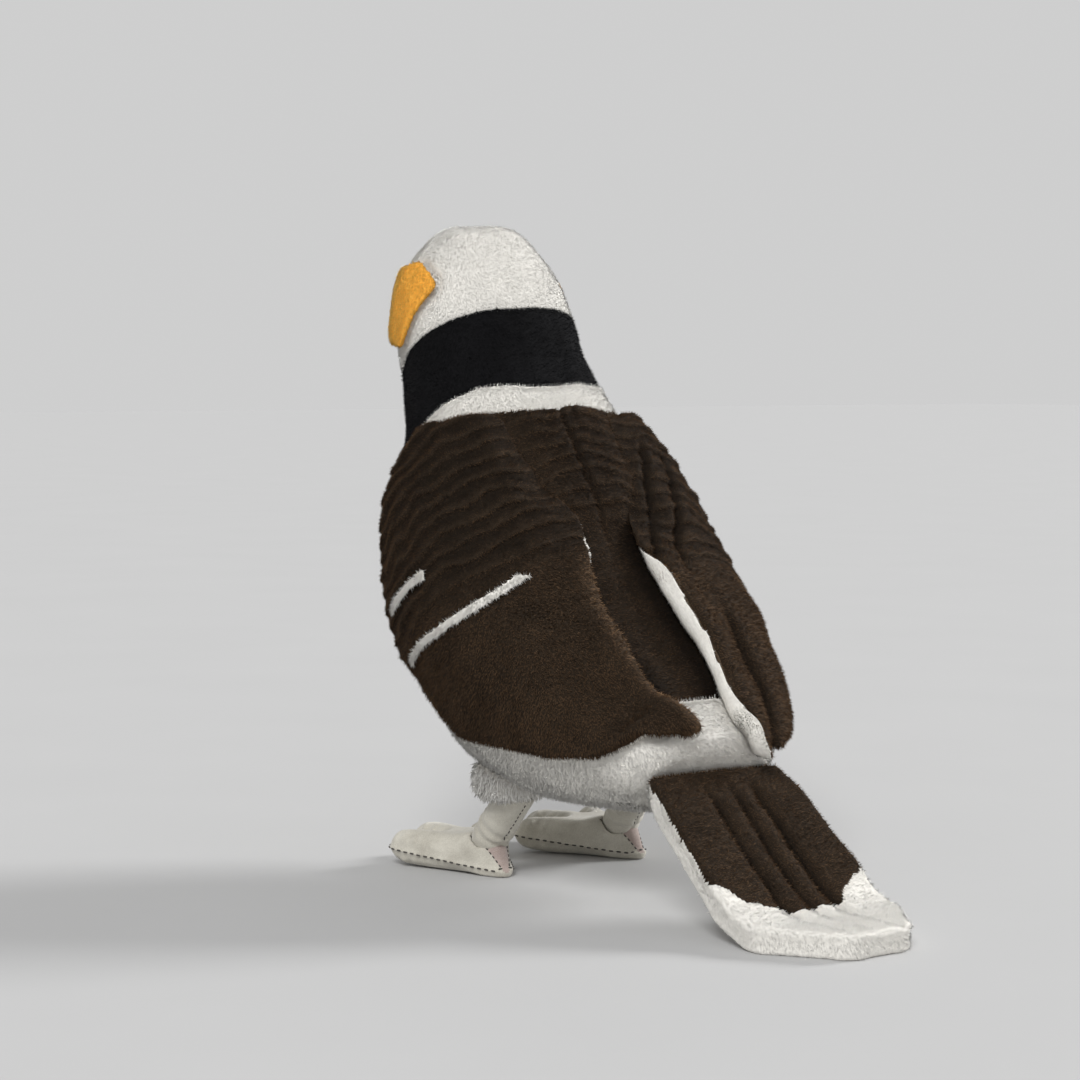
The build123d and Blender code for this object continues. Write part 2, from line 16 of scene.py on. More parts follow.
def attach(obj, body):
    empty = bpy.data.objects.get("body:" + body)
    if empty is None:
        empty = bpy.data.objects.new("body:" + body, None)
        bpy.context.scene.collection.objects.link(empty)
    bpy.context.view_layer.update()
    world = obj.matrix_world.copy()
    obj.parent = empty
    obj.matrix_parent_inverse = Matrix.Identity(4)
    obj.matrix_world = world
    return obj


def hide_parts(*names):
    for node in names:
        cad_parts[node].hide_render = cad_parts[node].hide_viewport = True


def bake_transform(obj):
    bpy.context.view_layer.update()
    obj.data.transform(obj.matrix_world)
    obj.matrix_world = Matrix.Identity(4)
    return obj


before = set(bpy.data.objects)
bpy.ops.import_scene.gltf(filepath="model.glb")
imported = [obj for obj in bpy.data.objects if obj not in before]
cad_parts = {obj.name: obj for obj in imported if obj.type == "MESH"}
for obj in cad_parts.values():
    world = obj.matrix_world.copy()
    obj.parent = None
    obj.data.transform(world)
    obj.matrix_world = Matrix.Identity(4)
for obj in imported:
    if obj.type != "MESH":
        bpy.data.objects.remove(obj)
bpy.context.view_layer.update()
MM = 0.001

# %% [markdown]
# ## Colours and node materials
# Colours are written as sRGB hex. A renderer needs linear light, so one function turns a hex colour
# into it. `add` puts one node in a material's tree, sets its inputs and links it.


# %% Colour and node helpers
def linear(hex_colour, factor=1.0, more=0.0):
    """sRGB hex colour as linear RGBA, made lighter or darker by a factor."""
    channels = [int(hex_colour[i : i + 2], 16) / 255 for i in (1, 3, 5)]
    light = [c / 12.92 if c <= 0.04045 else ((c + 0.055) / 1.055) ** 2.4 for c in channels]
    return [c * factor + more for c in light] + [1.0]


def new_material(name):
    """A new node material, its tree, and the object's own coordinates in it."""
    material = bpy.data.materials.new(name)
    material.use_nodes = True
    tree = material.node_tree
    tree.nodes.clear()
    return material, tree, add(tree, "ShaderNodeTexCoord").outputs["Object"]


def add(tree, kind, settings=None, **inputs):
    """Adds a node. Settings are its properties, or the stops of its colour ramp.

    Inputs are values, or what to link from: a socket, or a node for its first output. An input is
    named, or i and its number.
    """
    made = tree.nodes.new(kind)
    for key, value in (settings or {}).items():
        if key == "stops":
            for stop, (place, colour) in zip(made.color_ramp.elements, value):
                stop.position, stop.color = place, colour
        else:
            setattr(made, key, value)
    for key, value in inputs.items():
        by_number = key[0] == "i" and key[1:].isdigit()
        socket = made.inputs[int(key[1:]) if by_number else key.replace("_", " ")]
        if isinstance(value, bpy.types.Node):
            value = value.outputs[0]
        if isinstance(value, bpy.types.NodeSocket):
            tree.links.new(value, socket)
        else:
            socket.default_value = value
    return made


# %% [markdown]
# ### Plush
# Plush is a knitted backing with cut pile standing on it. What the eye sees is the pile: each tuft
# is painted darker at its root than at its tip, for the shade deep in the pile, tufts differ a
# little in tone, and the nap lies in patches. Light that grazes the pile scatters forward, which the
# sheen layer gives. The same material serves the cloth under the pile, where the attribute `tip` is
# missing and reads as 0, so the cloth takes the root's painted shade.
# Little light gets down into stitched grooves, so a stored attribute paints shade into them, and it
# paints a highlight on a rim that stands out. Blades are thin and lit through from behind, so both
# of their faces shade with the cloth's own outward normal.

# %% Plush material
TUFT_MM, LAY_MM = 1.1, 14.0      # size of a tuft, and of a patch in which the nap lies one way
NOISE_LOW, NOISE_HIGH = 0.3, 0.7  # nearly all of a noise texture's values lie between these
PILE_ROOT, PILE_TIP = 0.05, 0.85  # where along a blade the root's painted shade ends and the tip's colour starts
LEAST_TIP = 0.02                 # `tip` is over this on a blade and 0 on the cloth


def plush(name, tip_hex, root_shade_hex, patch, sheen, groove_shade=0.45, grain=0.25):
    """Cut-pile plush, from the colour of its tufts' tips and the painted shade of their roots.

    Patch and grain say how much the tone varies, and the setting for grooves how dark their painted
    shade is.
    """
    material, tree, place = new_material(name)
    tip, painted_shading = (add(tree, "ShaderNodeAttribute", {"attribute_name": key}).outputs["Fac"]
                 for key in ("tip", "painted_shading"))
    # blades darken from tip to root: painted shade of the pile's depth
    stops = ((PILE_ROOT, linear(root_shade_hex)), (PILE_TIP, linear(tip_hex)))
    colour = add(tree, "ShaderNodeValToRGB", {"stops": stops}, Fac=tip)
    # the stored attribute paints shade into grooves and a highlight onto rims; the random tone is
    # multiplied in below
    tone = add(tree, "ShaderNodeMath", {"operation": "MULTIPLY_ADD"}, i0=painted_shading, i1=-groove_shade, i2=1.0)
    for size_mm, detail, darkest, lightest in (
        (TUFT_MM, 2.0, 1 - 1.1 * grain, 1 + 0.8 * grain),
        (LAY_MM, 3.0, 1 - patch, 1 + patch),
    ):
        speckle = add(tree, "ShaderNodeTexNoise", Vector=place, Scale=1 / (size_mm * MM),
                      Detail=detail, Roughness=0.6)
        level = add(tree, "ShaderNodeMapRange", Value=speckle, i1=NOISE_LOW, i2=NOISE_HIGH,
                    i3=darkest, i4=lightest)
        tone = add(tree, "ShaderNodeMath", {"operation": "MULTIPLY"}, i0=tone, i1=level)
    colour = add(tree, "ShaderNodeVectorMath", {"operation": "SCALE"}, i0=colour, Scale=tone)
    seen = add(tree, "ShaderNodeNewGeometry").outputs
    blade = add(tree, "ShaderNodeMath", {"operation": "GREATER_THAN"}, i0=tip, i1=LEAST_TIP)
    back = add(tree, "ShaderNodeMath", {"operation": "MULTIPLY"}, i0=seen["Backfacing"], i1=blade)
    side = add(tree, "ShaderNodeMath", {"operation": "MULTIPLY_ADD"}, i0=back, i1=-2.0, i2=1.0)
    stand = add(tree, "ShaderNodeVectorMath", {"operation": "SCALE"}, i0=seen["Normal"], Scale=side)
    shader = add(tree, "ShaderNodeBsdfPrincipled", Base_Color=colour, Roughness=0.92, Normal=stand,
                 Specular_IOR_Level=0.15, Sheen_Weight=sheen, Sheen_Roughness=0.45,
                 Sheen_Tint=linear(tip_hex))
    add(tree, "ShaderNodeOutputMaterial", Surface=shader)
    return material


# the settings for grooves give the strength of their painted shade
PALE = {"patch": 0.03, "sheen": 0.1, "groove_shade": 0.2, "grain": 0.06}
# each plush's second colour is its tufts' roots, painted darker as shade deep in the pile
WHITE_PLUSH = plush("White short plush", "#F0EEE9", "#EAE7E0", **PALE)
FLUFFY_PLUSH = plush("White long plush", "#F0EEE9", "#E7E3DB", **PALE)
BLACK_PLUSH = plush("Black short plush", "#201F21", "#0D0D0F", patch=0.2, sheen=0.3)
BROWN_PLUSH = plush("Dark brown plush", "#614B37", "#2C231A", patch=0.2, sheen=0.2, groove_shade=0.75)
ORANGE_PLUSH = plush("Orange short plush", "#FFD06A", "#FBB247", patch=0.08, sheen=0.2)
print("plush materials:", len(bpy.data.materials))

# %% [markdown]
# ### Suede cloth, felt, thread, plastic
# The legs and feet are brushed suede cloth: no pile to see, but a fine nap that mottles the tone.
# Felt, filling fibre and the pellet bag's cloth are made the same way with a coarser grain. Thread
# is twisted and a little glossy. The eyes are polished plastic beads.

# %% Suede, felt, thread and plastic materials
SMUDGE_MM = 11                   # size of the smudges on brushed cloth
TWIST_MM = 0.9                   # length of one turn of a thread
MARKS_MM = 2                     # size of the handling marks on plastic


def suede(name, base_hex, dark_hex, grain_mm=0.5, sheen=0.35):
    """Brushed suede cloth, or felt or fibre with a coarser grain."""
    material, tree, place = new_material(name)
    grain = add(tree, "ShaderNodeTexNoise", Vector=place, Scale=1 / (grain_mm * MM), Detail=3.0,
                Roughness=0.7)
    smudge = add(tree, "ShaderNodeTexNoise", Vector=place, Scale=1 / (SMUDGE_MM * MM), Detail=3.0,
                 Roughness=0.55)
    fine = add(tree, "ShaderNodeMath", {"operation": "MULTIPLY"}, i0=grain, i1=0.45)
    both = add(tree, "ShaderNodeMath", {"operation": "MULTIPLY_ADD"}, i0=smudge, i1=0.55, i2=fine)
    stops = ((0.32, linear(dark_hex)), (0.62, linear(base_hex)))
    colour = add(tree, "ShaderNodeValToRGB", {"stops": stops}, Fac=both)
    bump = add(tree, "ShaderNodeBump", Strength=0.35, Distance=0.15 * MM, Height=grain)
    shader = add(tree, "ShaderNodeBsdfPrincipled", Base_Color=colour, Roughness=0.85, Normal=bump,
                 Specular_IOR_Level=0.2, Sheen_Weight=sheen)
    add(tree, "ShaderNodeOutputMaterial", Surface=shader)
    return material


def thread(name, base_hex):
    """Twisted sewing thread."""
    material, tree, place = new_material(name)
    twist = add(tree, "ShaderNodeTexWave", Vector=place, Scale=1 / (TWIST_MM * MM), Distortion=1.5)
    stops = ((0.0, linear(base_hex, 0.6)), (1.0, linear(base_hex)))
    colour = add(tree, "ShaderNodeValToRGB", {"stops": stops}, Fac=twist.outputs["Fac"])
    shader = add(tree, "ShaderNodeBsdfPrincipled", Base_Color=colour, Roughness=0.55)
    add(tree, "ShaderNodeOutputMaterial", Surface=shader)
    return material


def polished(name, base_hex, roughness):
    """Polished plastic or wire with faint handling marks."""
    material, tree, place = new_material(name)
    marks = add(tree, "ShaderNodeTexNoise", Vector=place, Scale=1 / (MARKS_MM * MM), Detail=4.0)
    rough = add(tree, "ShaderNodeMapRange", Value=marks, i1=0.3, i2=0.8, i3=roughness,
                i4=roughness + 0.12)
    stops = ((0.0, linear(base_hex)), (1.0, linear(base_hex, 1.3, 0.002)))
    colour = add(tree, "ShaderNodeValToRGB", {"stops": stops}, Fac=marks)
    shader = add(tree, "ShaderNodeBsdfPrincipled", Base_Color=colour, Roughness=rough)
    add(tree, "ShaderNodeOutputMaterial", Surface=shader)
    return material


GREY_SUEDE = suede("Grey suede cloth", "#CDC9BD", "#A9A498")
PINK_SUEDE = suede("Pinkish suede cloth", "#B9A9A2", "#95857F")
BILL_FELT = suede("Dark grey felt", "#3E3B3B", "#232122", grain_mm=0.7, sheen=0.5)
FIBRE = suede("Polyester fibre", "#F0EEE8", "#D5D2CA", grain_mm=1.2)
BAG_CLOTH = suede("Pellet bag cloth", "#D8D3C4", "#B5AF9F", grain_mm=0.9)
DARK_THREAD = thread("Dark grey thread", "#4A4642")
EYE_PLASTIC = polished("Black eye plastic", "#0B0A0A", 0.06)
WASHER_PLASTIC = polished("White washer plastic", "#D9D8D2", 0.4)
WIRE = polished("Annealed wire", "#8A8783", 0.35)
print("materials:", len(bpy.data.materials))

# %% [markdown]
# ## Mesh helpers
# Sewn and stuffed pieces have no sharp edges. Each one starts as a copy of its CAD node, is
# remeshed into small even faces, smoothed so that its cut edges roll over, and then shaped by
# functions of position: quilting, seams drawn in, a lumpiness that runs through the whole toy.


# %% Mesh helpers
def mesh_object(name, verts, faces, material, smooth=True):
    """A new object in the scene from vertices and faces."""
    mesh = bpy.data.meshes.new(name)
    mesh.from_pydata([tuple(v) for v in verts], [], [tuple(f) for f in faces])
    mesh.materials.append(material)
    made = bpy.data.objects.new(name, mesh)
    bpy.context.collection.objects.link(made)
    if smooth:
        mesh.shade_smooth()
    return made


def coordinates(made, kind="co"):
    """Vertex positions of an object as an array."""
    out = np.empty(len(made.data.vertices) * 3, np.float32)
    made.data.vertices.foreach_get(kind, out)
    return out.reshape(-1, 3).astype(float)


def normals(made):
    """Vertex normals of an object as an array."""
    return coordinates(made, "normal")


def move_to(made, co):
    """Sets an object's vertex positions."""
    made.data.vertices.foreach_set("co", np.asarray(co, np.float32).ravel())
    made.data.update()


def gathered(node_names):
    """Vertices and faces of CAD nodes, in the toy's frame."""
    verts, faces = [], []
    for node_name in node_names:
        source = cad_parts[node_name]
        start = len(verts)
        verts += [source.matrix_world @ v.co for v in source.data.vertices]
        faces += [[start + i for i in p.vertices] for p in source.data.polygons]
    return verts, faces


def tree_of(node_names):
    """Search tree over CAD nodes' surfaces."""
    return BVHTree.FromPolygons(*gathered(node_names))


def remeshed(name, node_names, material, voxel_mm, rounds):
    """One even, smoothed mesh from copies of CAD nodes."""
    return even(mesh_object(name, *gathered(node_names), material), voxel_mm, rounds)


def even(raw, voxel_mm, rounds):
    """Gives an object a mesh of small even faces, smoothed a number of rounds."""
    name, material = raw.name, raw.data.materials[0]
    remesh = raw.modifiers.new("even", "REMESH")
    remesh.mode = "VOXEL"
    remesh.voxel_size = voxel_mm * MM
    smooth = raw.modifiers.new("soft", "SMOOTH")
    smooth.factor = 0.5
    smooth.iterations = rounds
    graph = bpy.context.evaluated_depsgraph_get()
    mesh = bpy.data.meshes.new_from_object(raw.evaluated_get(graph))
    raw.modifiers.clear()
    old = raw.data
    raw.data = mesh
    bpy.data.meshes.remove(old)
    mesh.name = name
    mesh.materials.clear()
    mesh.materials.append(material)
    mesh.shade_smooth()
    return raw


def nearest(co, tree, limit):
    """Distance and vector from each point to a tree; the limit and no vector if it is farther."""
    far, to = np.full(len(co), limit), np.zeros_like(co)
    for i, point in enumerate(co):
        hit, _, _, found = tree.find_nearest(Vector(point), limit)
        if hit is not None:
            far[i] = found
            to[i] = np.array(hit) - point
    return far, to


def relaxed(made, co, share, rounds):
    """Irons out folds: each vertex moves by its share towards the middle of its neighbours."""
    ends = np.empty(len(made.data.edges) * 2, np.int32)
    made.data.edges.foreach_get("vertices", ends)
    here = np.concatenate([ends[0::2], ends[1::2]])
    there = np.concatenate([ends[1::2], ends[0::2]])
    count = np.maximum(np.bincount(here, minlength=len(co)), 1)[:, None]
    for _ in range(rounds):
        total = np.stack([np.bincount(here, co[there, k], len(co)) for k in range(3)], axis=1)
        co = co + share[:, None] * (total / count - co)
    return co


def ease(x, start, end):
    """Smooth step from 0 at start to 1 at end."""
    t = np.clip((x - start) / (end - start), 0, 1)
    return t * t * (3 - 2 * t)


def bell(x, middle, width):
    """1 where x is at the middle, and less to either side, 0.37 a width away."""
    return np.exp(-(((x - middle) / width) ** 2))


def unit(vectors):
    """Vectors scaled to length 1."""
    return vectors / np.maximum(np.linalg.norm(vectors, axis=1), 1e-12)[:, None]


def ripple(co, size_mm, seed=0.0):
    """Smooth noise over points, about -1 to 1, with hills of a given size."""
    scale = 1 / (size_mm * MM)
    return np.array([noise.noise(Vector(p) * scale + Vector((seed, 0, 0))) for p in co])


def wander(co, size_mm, seeds):
    """Smooth noise vectors over points, each axis with its own seed."""
    return np.stack([ripple(co, size_mm, seed) for seed in seeds], axis=1)


def lumpy(co):
    """The stuffed body's slight lumpiness, the same for every piece so that seams stay shut."""
    shift = wander(co, 24, (3.1, 17.7, 41.3)) * 1.5 * MM
    fine = wander(co, 8, (5.2, 29.4, 61.8)) * 0.45 * MM
    return co + shift + fine


def set_values(mesh, name, values):
    """Stores one number for each vertex of a mesh, under a name."""
    attribute = mesh.attributes.get(name) or mesh.attributes.new(name, "FLOAT", "POINT")
    attribute.data.foreach_set("value", values.astype(np.float32))


def set_painted_shading(made, shading):
    """Stores the painted shade of each vertex, 0 to 1 and most in grooves, or below 0 for a painted
    highlight on a rim that stands out.
    """
    set_values(made.data, "painted_shading", np.clip(shading, -2, 1))


def painted_shading_of(mesh):
    """The painted shade of each vertex of a mesh, or None where nothing is stored."""
    if "painted_shading" not in mesh.attributes:
        return None
    painted_shadings = np.empty(len(mesh.vertices), np.float32)
    mesh.attributes["painted_shading"].data.foreach_get("value", painted_shadings)
    return painted_shadings


MIDDLE_LINE = [(0.038, 0.060), (-0.030, 0.100), (-0.070, 0.160), (-0.098, 0.235)]  # y, z from tail
SEAM_REACH_MM = 3.2              # an edge nearer than this to its neighbour is sewn shut to it
SEAM_SHADE = 0.6                 # painted shade along a seam, as a share of the darkest


def outwardness(points, facing):
    """How far a face looks away from the toy's middle line, -1 to 1."""
    away, least = np.zeros_like(points), np.full(len(points), np.inf)
    for (y0, z0), (y1, z1) in zip(MIDDLE_LINE[:-1], MIDDLE_LINE[1:]):
        first, step = np.array([0, y0, z0]), np.array([0, y1 - y0, z1 - z0])
        share = np.clip((points - first) @ step / (step @ step), 0, 1)
        offset = points - first - share[:, None] * step
        far = np.linalg.norm(offset, axis=1)
        away = np.where((far < least)[:, None], offset, away)
        least = np.minimum(far, least)
    return (away * facing).sum(1) / np.maximum(least, 1e-6)


def outward(points, facing):
    """True where a face looks away from the toy's middle line, or little inwards."""
    return outwardness(points, facing) > -0.3


def draw_in(made, tree, depth_mm, width_mm, sink_mm):
    """Sews a piece's edge to its neighbours: closes the gap, sinks the surface along the seam, and
    paints shade there.

    The whole surface sinks by sink_mm, which leaves room for the pile on it. The inner side of the
    cloth moves the same way as the outer one.
    """
    co, no = coordinates(made), normals(made)
    near, to = nearest(co, tree, width_mm * 2.5 * MM)
    toward = np.clip((no * to).sum(1) / np.maximum(near, 1e-6), 0, 1)
    joined = toward * (near < SEAM_REACH_MM * MM)
    close = bell(near, 0, width_mm * MM)
    outer = np.clip(outwardness(co, no) * 3, -1, 1)
    sink = (depth_mm * close + sink_mm) * MM * (1 - joined) * outer
    move_to(made, co + to * joined[:, None] - no * sink[:, None])
    # painted shade along the seam
    set_painted_shading(made, close * SEAM_SHADE)


# %% [markdown]
# ## Pile
# The pile is real geometry: slender blades that stand on the cloth, lean the way the nap was
# brushed and differ in length. They give the toy its soft outline and the granular look of plush.
# Each blade carries `tip`, 0 at its root and 1 at its point, for the material. A drooping blade
# has a bend in it, so it is made of three triangles, the others of one.

# %% Pile
NAP = np.array([0.0, 0.56, -0.83])
BLADE_ROLL = 0.5                 # radians by which a blade's flat side is turned from the cloth
ROOT_MM = 0.4                    # how deep a blade's foot is in the cloth
BEND_AT, PAST_BEND = 0.55, 0.45  # shares of a drooping blade's length before and after its bend
FLOOR_GAP = 0.1 * MM             # nothing of the toy is lower than this over the floor
DENSITY, WIDENING = ((1.0, 1.0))
STRAIGHT = {
    "faces": np.array([[0, 1, 2]]),
    "tips": np.array([0, 0, 1.0]),
    "uv": np.array([[0.2, 0.15], [0.8, 0.15], [0.5, 0.85]]),
}
BENT = {
    "faces": np.array([[0, 1, 2], [0, 2, 3], [3, 2, 4]]),
    "tips": np.array([0, 0, 0.6, 0.6, 1.0]),
    "uv": np.array([[0.2, 0.1], [0.8, 0.1], [0.75, 0.6], [0.25, 0.6], [0.5, 0.9]]),
}


def blade_mesh(name, verts, shape):
    """A mesh of many blades of one shape, each with its own spot in the UV square."""
    count, corners = verts.shape[:2]
    faces = (shape["faces"][None] + (np.arange(count) * corners)[:, None, None]).reshape(-1, 3)
    mesh = bpy.data.meshes.new(name)
    mesh.vertices.add(count * corners)
    mesh.vertices.foreach_set("co", verts.reshape(-1).astype(np.float32))
    mesh.loops.add(len(faces) * 3)
    mesh.loops.foreach_set("vertex_index", faces.ravel().astype(np.int32))
    mesh.polygons.add(len(faces))
    mesh.polygons.foreach_set("loop_start", (np.arange(len(faces)) * 3).astype(np.int32))
    mesh.update(calc_edges=True)
    set_values(mesh, "tip", np.tile(shape["tips"], count))
    cells = int(math.ceil(math.sqrt(max(count, 1))))
    grid = np.stack([np.arange(count) % cells, np.arange(count) // cells], axis=1) / cells
    spots = (grid[:, None, :] + shape["uv"][None] / cells).reshape(-1, 2)
    uv = mesh.uv_layers.new(name="OFBake")
    uv.data.foreach_set("uv", spots[faces.ravel()].ravel().astype(np.float32))
    return mesh


def pile(base, name, length_mm, width_mm, per_mm2, seed, nap=NAP, lay=1.0, keep=None, droop=0.0,
         trim=None):
    """Blades of pile over a piece, where keep(points, normals) allows them.

    Lay says how far they lean along the nap, droop how far they hang; trim(points) shortens them.
    """
    random = np.random.default_rng(seed)
    base.data.calc_loop_triangles()
    tris = np.empty(len(base.data.loop_triangles) * 3, np.int32)
    base.data.loop_triangles.foreach_get("vertices", tris)
    tris = tris.reshape(-1, 3)
    co, no = coordinates(base), normals(base)
    a, b, c = co[tris[:, 0]], co[tris[:, 1]], co[tris[:, 2]]
    cross = np.cross(b - a, c - a)
    area = np.linalg.norm(cross, axis=1) / 2 / MM**2
    wanted = np.ones(len(tris))
    if keep is not None:
        wanted = np.asarray(keep((a + b + c) / 3, unit(cross)), float)
    count = np.floor(area * per_mm2 * wanted * DENSITY + random.random(len(tris))).astype(int)
    index = np.repeat(np.arange(len(tris)), count)
    r1, r2 = np.sqrt(random.random(len(index))), random.random(len(index))
    w = np.stack([1 - r1, r1 * (1 - r2), r1 * r2], axis=1)
    corner = tris[index]
    root = (co[corner] * w[..., None]).sum(1)
    up = unit((no[corner] * w[..., None]).sum(1))
    nap = np.broadcast_to(np.asarray(nap, float), up.shape)
    along = nap - up * (nap * up).sum(1)[:, None]
    lean = unit(up + lay * along + 0.35 * random.normal(size=up.shape))
    length = length_mm * MM * (0.65 + 0.5 * random.random(len(index)))
    if trim is not None:
        length *= trim(root)
    side = unit(np.cross(lean, up))
    roll = BLADE_ROLL * random.normal(size=len(index))
    side = side * np.cos(roll)[:, None] + np.cross(lean, side) * np.sin(roll)[:, None]
    side *= np.where((np.cross(side, lean) * up).sum(1) < 0, -1, 1)[:, None]
    half = side * (width_mm * MM / 2) * WIDENING
    foot = root - up * ROOT_MM * MM
    if droop:
        middle = root + lean * (length * BEND_AT)[:, None]
        fall = unit(lean + np.array([0, 0, -1.0]) * droop)
        point = middle + fall * (length * PAST_BEND)[:, None]
        corners = [foot - half, foot + half, middle + half * 0.8, middle - half * 0.8, point]
    else:
        corners = [foot - half, foot + half, root + lean * length[:, None]]
    verts = np.stack(corners, axis=1)
    verts[..., 2] = np.maximum(verts[..., 2], FLOOR_GAP)
    mesh = blade_mesh(name, verts, BENT if droop else STRAIGHT)
    # blades carry the painted shade and painted highlight of the cloth under them
    painted_shadings = painted_shading_of(base.data)
    if painted_shadings is not None:
        set_values(mesh, "painted_shading", np.repeat((painted_shadings[corner] * w).sum(1), len(corners)))
    mesh.materials.append(base.data.materials[0])
    mesh.shade_smooth()
    soft = unit(np.repeat(up, len(corners), axis=0) + 0.25 * np.repeat(lean, len(corners), axis=0))
    mesh.normals_split_custom_set_from_vertices(soft.astype(np.float32))
    made = bpy.data.objects.new(name, mesh)
    bpy.context.collection.objects.link(made)
    print(f"{name}: {len(index)} blades")
    return made


# %% [markdown]
# ## Head, collar and nape
# Three rings of plush are sewn end to end: the white head dome, the black collar and the white nape
# stripe, which runs out to a point on each side. Their seams sink into the stuffing and get painted
# shade, and their edges wander by a millimetre, as machine-sewn plush does.

# %% Head, collar and nape
PILE_ROOM = 0.9                  # mm that the cloth lies under the toy's outline, for the pile
SHOULDERS = ["left_shoulder_quilt", "right_shoulder_quilt"]
FRONT_BODY = {
    # node: (neighbours, material, blade length mm, blades per mm2)
    "head_cap": (["collar_band", "left_eye_patch", "right_eye_patch"], WHITE_PLUSH, 1.3, 3.6),
    "collar_band": (["head_cap", "nape_band"], BLACK_PLUSH, 1.6, 2.6),
    "nape_band": (["collar_band", "back_panel"] + SHOULDERS, WHITE_PLUSH, 1.5, 3.8),
}
for node_name, (neighbours, material, length, density) in FRONT_BODY.items():
    ring = remeshed(node_name + "_plush", [node_name], material, 1.2, 4)
    draw_in(ring, tree_of(neighbours), 0.5, 2.2, sink_mm=PILE_ROOM)
    move_to(ring, lumpy(coordinates(ring)))
    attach(ring, "torso")
    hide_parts(node_name)
    fur = pile(ring, node_name + "_pile", length, 0.42, density, keep=outward, seed=len(node_name))
    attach(fur, "torso")

# %% [markdown]
# ## Shapes of the back and the wings
# Each wing is a sandwich of brown plush, wadding and a white lining. Its front third is quilted to
# the shoulder in rows of scale feathers, the rest is free. One mesh goes over both parts.
#
# The scales are one function of position: rows run round the body, cells are staggered by half a
# cell from row to row, and each scale swells towards its lower edge and drops off behind it.

# %% Wing shapes
filling_tree = tree_of(["body_stuffing", "head_stuffing"])
AXIS_DOWN = np.array([0.0, 0.587, -0.81])   # along the back, from the nape to the tail
AXIS_OUT = np.array([0.0, 0.81, 0.587])
BACK_OUT, BACK_ROUND = 42 * MM, 58 * MM     # where the back's middle lies, and the radius round it
ROW_MM, CELL_MM = 7.4, 12.0
QUILT_END = {"left": -102 * MM, "right": -94 * MM}
QUILT_FADE = 9 * MM              # to either side of a quilt's end
QUILT_HEIGHT = 3.6 * MM
PLEATS_AROUND = (0, -14 * MM)    # where round the body the right shoulder's two pleats run
BODY_CLOTH = 2.5 * MM            # thickness of the body's cloth over its filling


def body_coordinates(co):
    """Distance down the back and distance round the body, in metres."""
    around = np.arctan2(co[:, 0], co @ AXIS_OUT - BACK_OUT) * BACK_ROUND
    return co @ AXIS_DOWN, around


def scales(co):
    """Height of the quilted scale feathers, 0 to 1."""
    down, around = body_coordinates(co)
    down = down + (ripple(co, 17, 2.0) * 3.4 + ripple(co, 8, 21.0) * 1.1) * MM
    around = around + (ripple(co, 14, 9.0) * 4.0 + ripple(co, 7, 27.0) * 1.2) * MM
    droop = np.abs(around) * 0.10
    v = (down - droop) / (ROW_MM * MM)
    height = np.zeros(len(co))
    for back_row in (1, 0):
        row = np.floor(v) - back_row
        u = around / (CELL_MM * MM) + 0.5 * (row % 2)
        local = u - np.floor(u) - 0.5
        reach = v - row
        edge = 1.0 + 0.55 * np.sqrt(np.clip(1 - (local / 0.5) ** 2, 0, 1))
        round_off = np.sqrt(np.clip(1 - (local / 0.56) ** 2, 0, 1))
        swell = np.clip(reach / edge, 0, 1) ** 1.4 * round_off
        height = np.where(reach < edge, np.maximum(swell, 0.15), height)
    return height


def free_share(down, name):
    """0 on a wing's quilted part and 1 on its free part, from the distance down the back."""
    return ease(down, QUILT_END[name] - QUILT_FADE, QUILT_END[name] + QUILT_FADE)


def quilting(co, name):
    """How far the quilted cloth stands off, in metres, and its painted shade.

    The painted shade is 0 to 1, most in grooves and pleats, and a little under 0, a painted
    highlight, on the scales' swollen edges.
    """
    down, around = body_coordinates(co)
    quilt = 1 - free_share(down, name)
    puff = scales(co)
    groove_shade = np.clip(1 - puff / 0.42, 0, 1)
    pleat = np.zeros(len(co))
    if name == "right":
        line = -36 * MM + 0.4 * (down + 141 * MM)
        for offset in PLEATS_AROUND:
            pleat += bell(around - line, offset, 1.9 * MM) * ease(down, -160 * MM, -150 * MM)
    rise = QUILT_HEIGHT * quilt * (puff - 0.35) - 2.4 * MM * pleat * quilt
    broad, fine = ripple(co, 20, 30.0) * 0.9 * MM, ripple(co, 10, 50.0)
    rise += broad * (1 - quilt) + fine * (0.3 + 0.7 * quilt) * MM
    return rise, quilt * (np.maximum(groove_shade, pleat) - 0.4 * ease(puff, 0.5, 1.0))


# Inner edge of each wing: its distance from the middle in mm, at heights in mm
EDGE_Z = np.array([56, 68, 80, 95, 112, 134, 160, 192])
LEFT_EDGE = ([66, 77, 90, 108, 127, 145, 160, 192], [4, 14, 22, 24, 21, 18, 22, 30])
EDGE_X = {"left": np.interp(EDGE_Z, *LEFT_EDGE),
          "right": np.array([14, 9, 8, 9, 9, 9, 17, 26], float)}
MERGE_START = {"left": 146 * MM, "right": 134 * MM}   # over this height the edge joins the back
MERGE_RISE, MERGE_WIDTH = 13 * MM, 17 * MM
MERGE_FLAT = 0.86                # share of the wing's thickness that is gone where it is sewn down
# Corrections of the left wing's edges in mm: outwards by height, and downwards by y
LEFT_SHIFT = ([60, 66, 74, 84, 100, 125, 142, 152], [6.5, 5.5, 2.5, 1, -1, -0.5, -2.5, 0])
LEFT_DROP = ([-70, -40, -16, 7, 30, 37, 46, 53, 58, 62],
             [1, 1.5, 3, 6, 8.5, 9.5, 8.5, 7, 2.5, -3.5])


def edge_distance(co, name, side):
    """Distance of points from the wing's inner edge, measured across the back, in metres."""
    return side * co[:, 0] - np.interp(co[:, 2] / MM, EDGE_Z, EDGE_X[name]) * MM


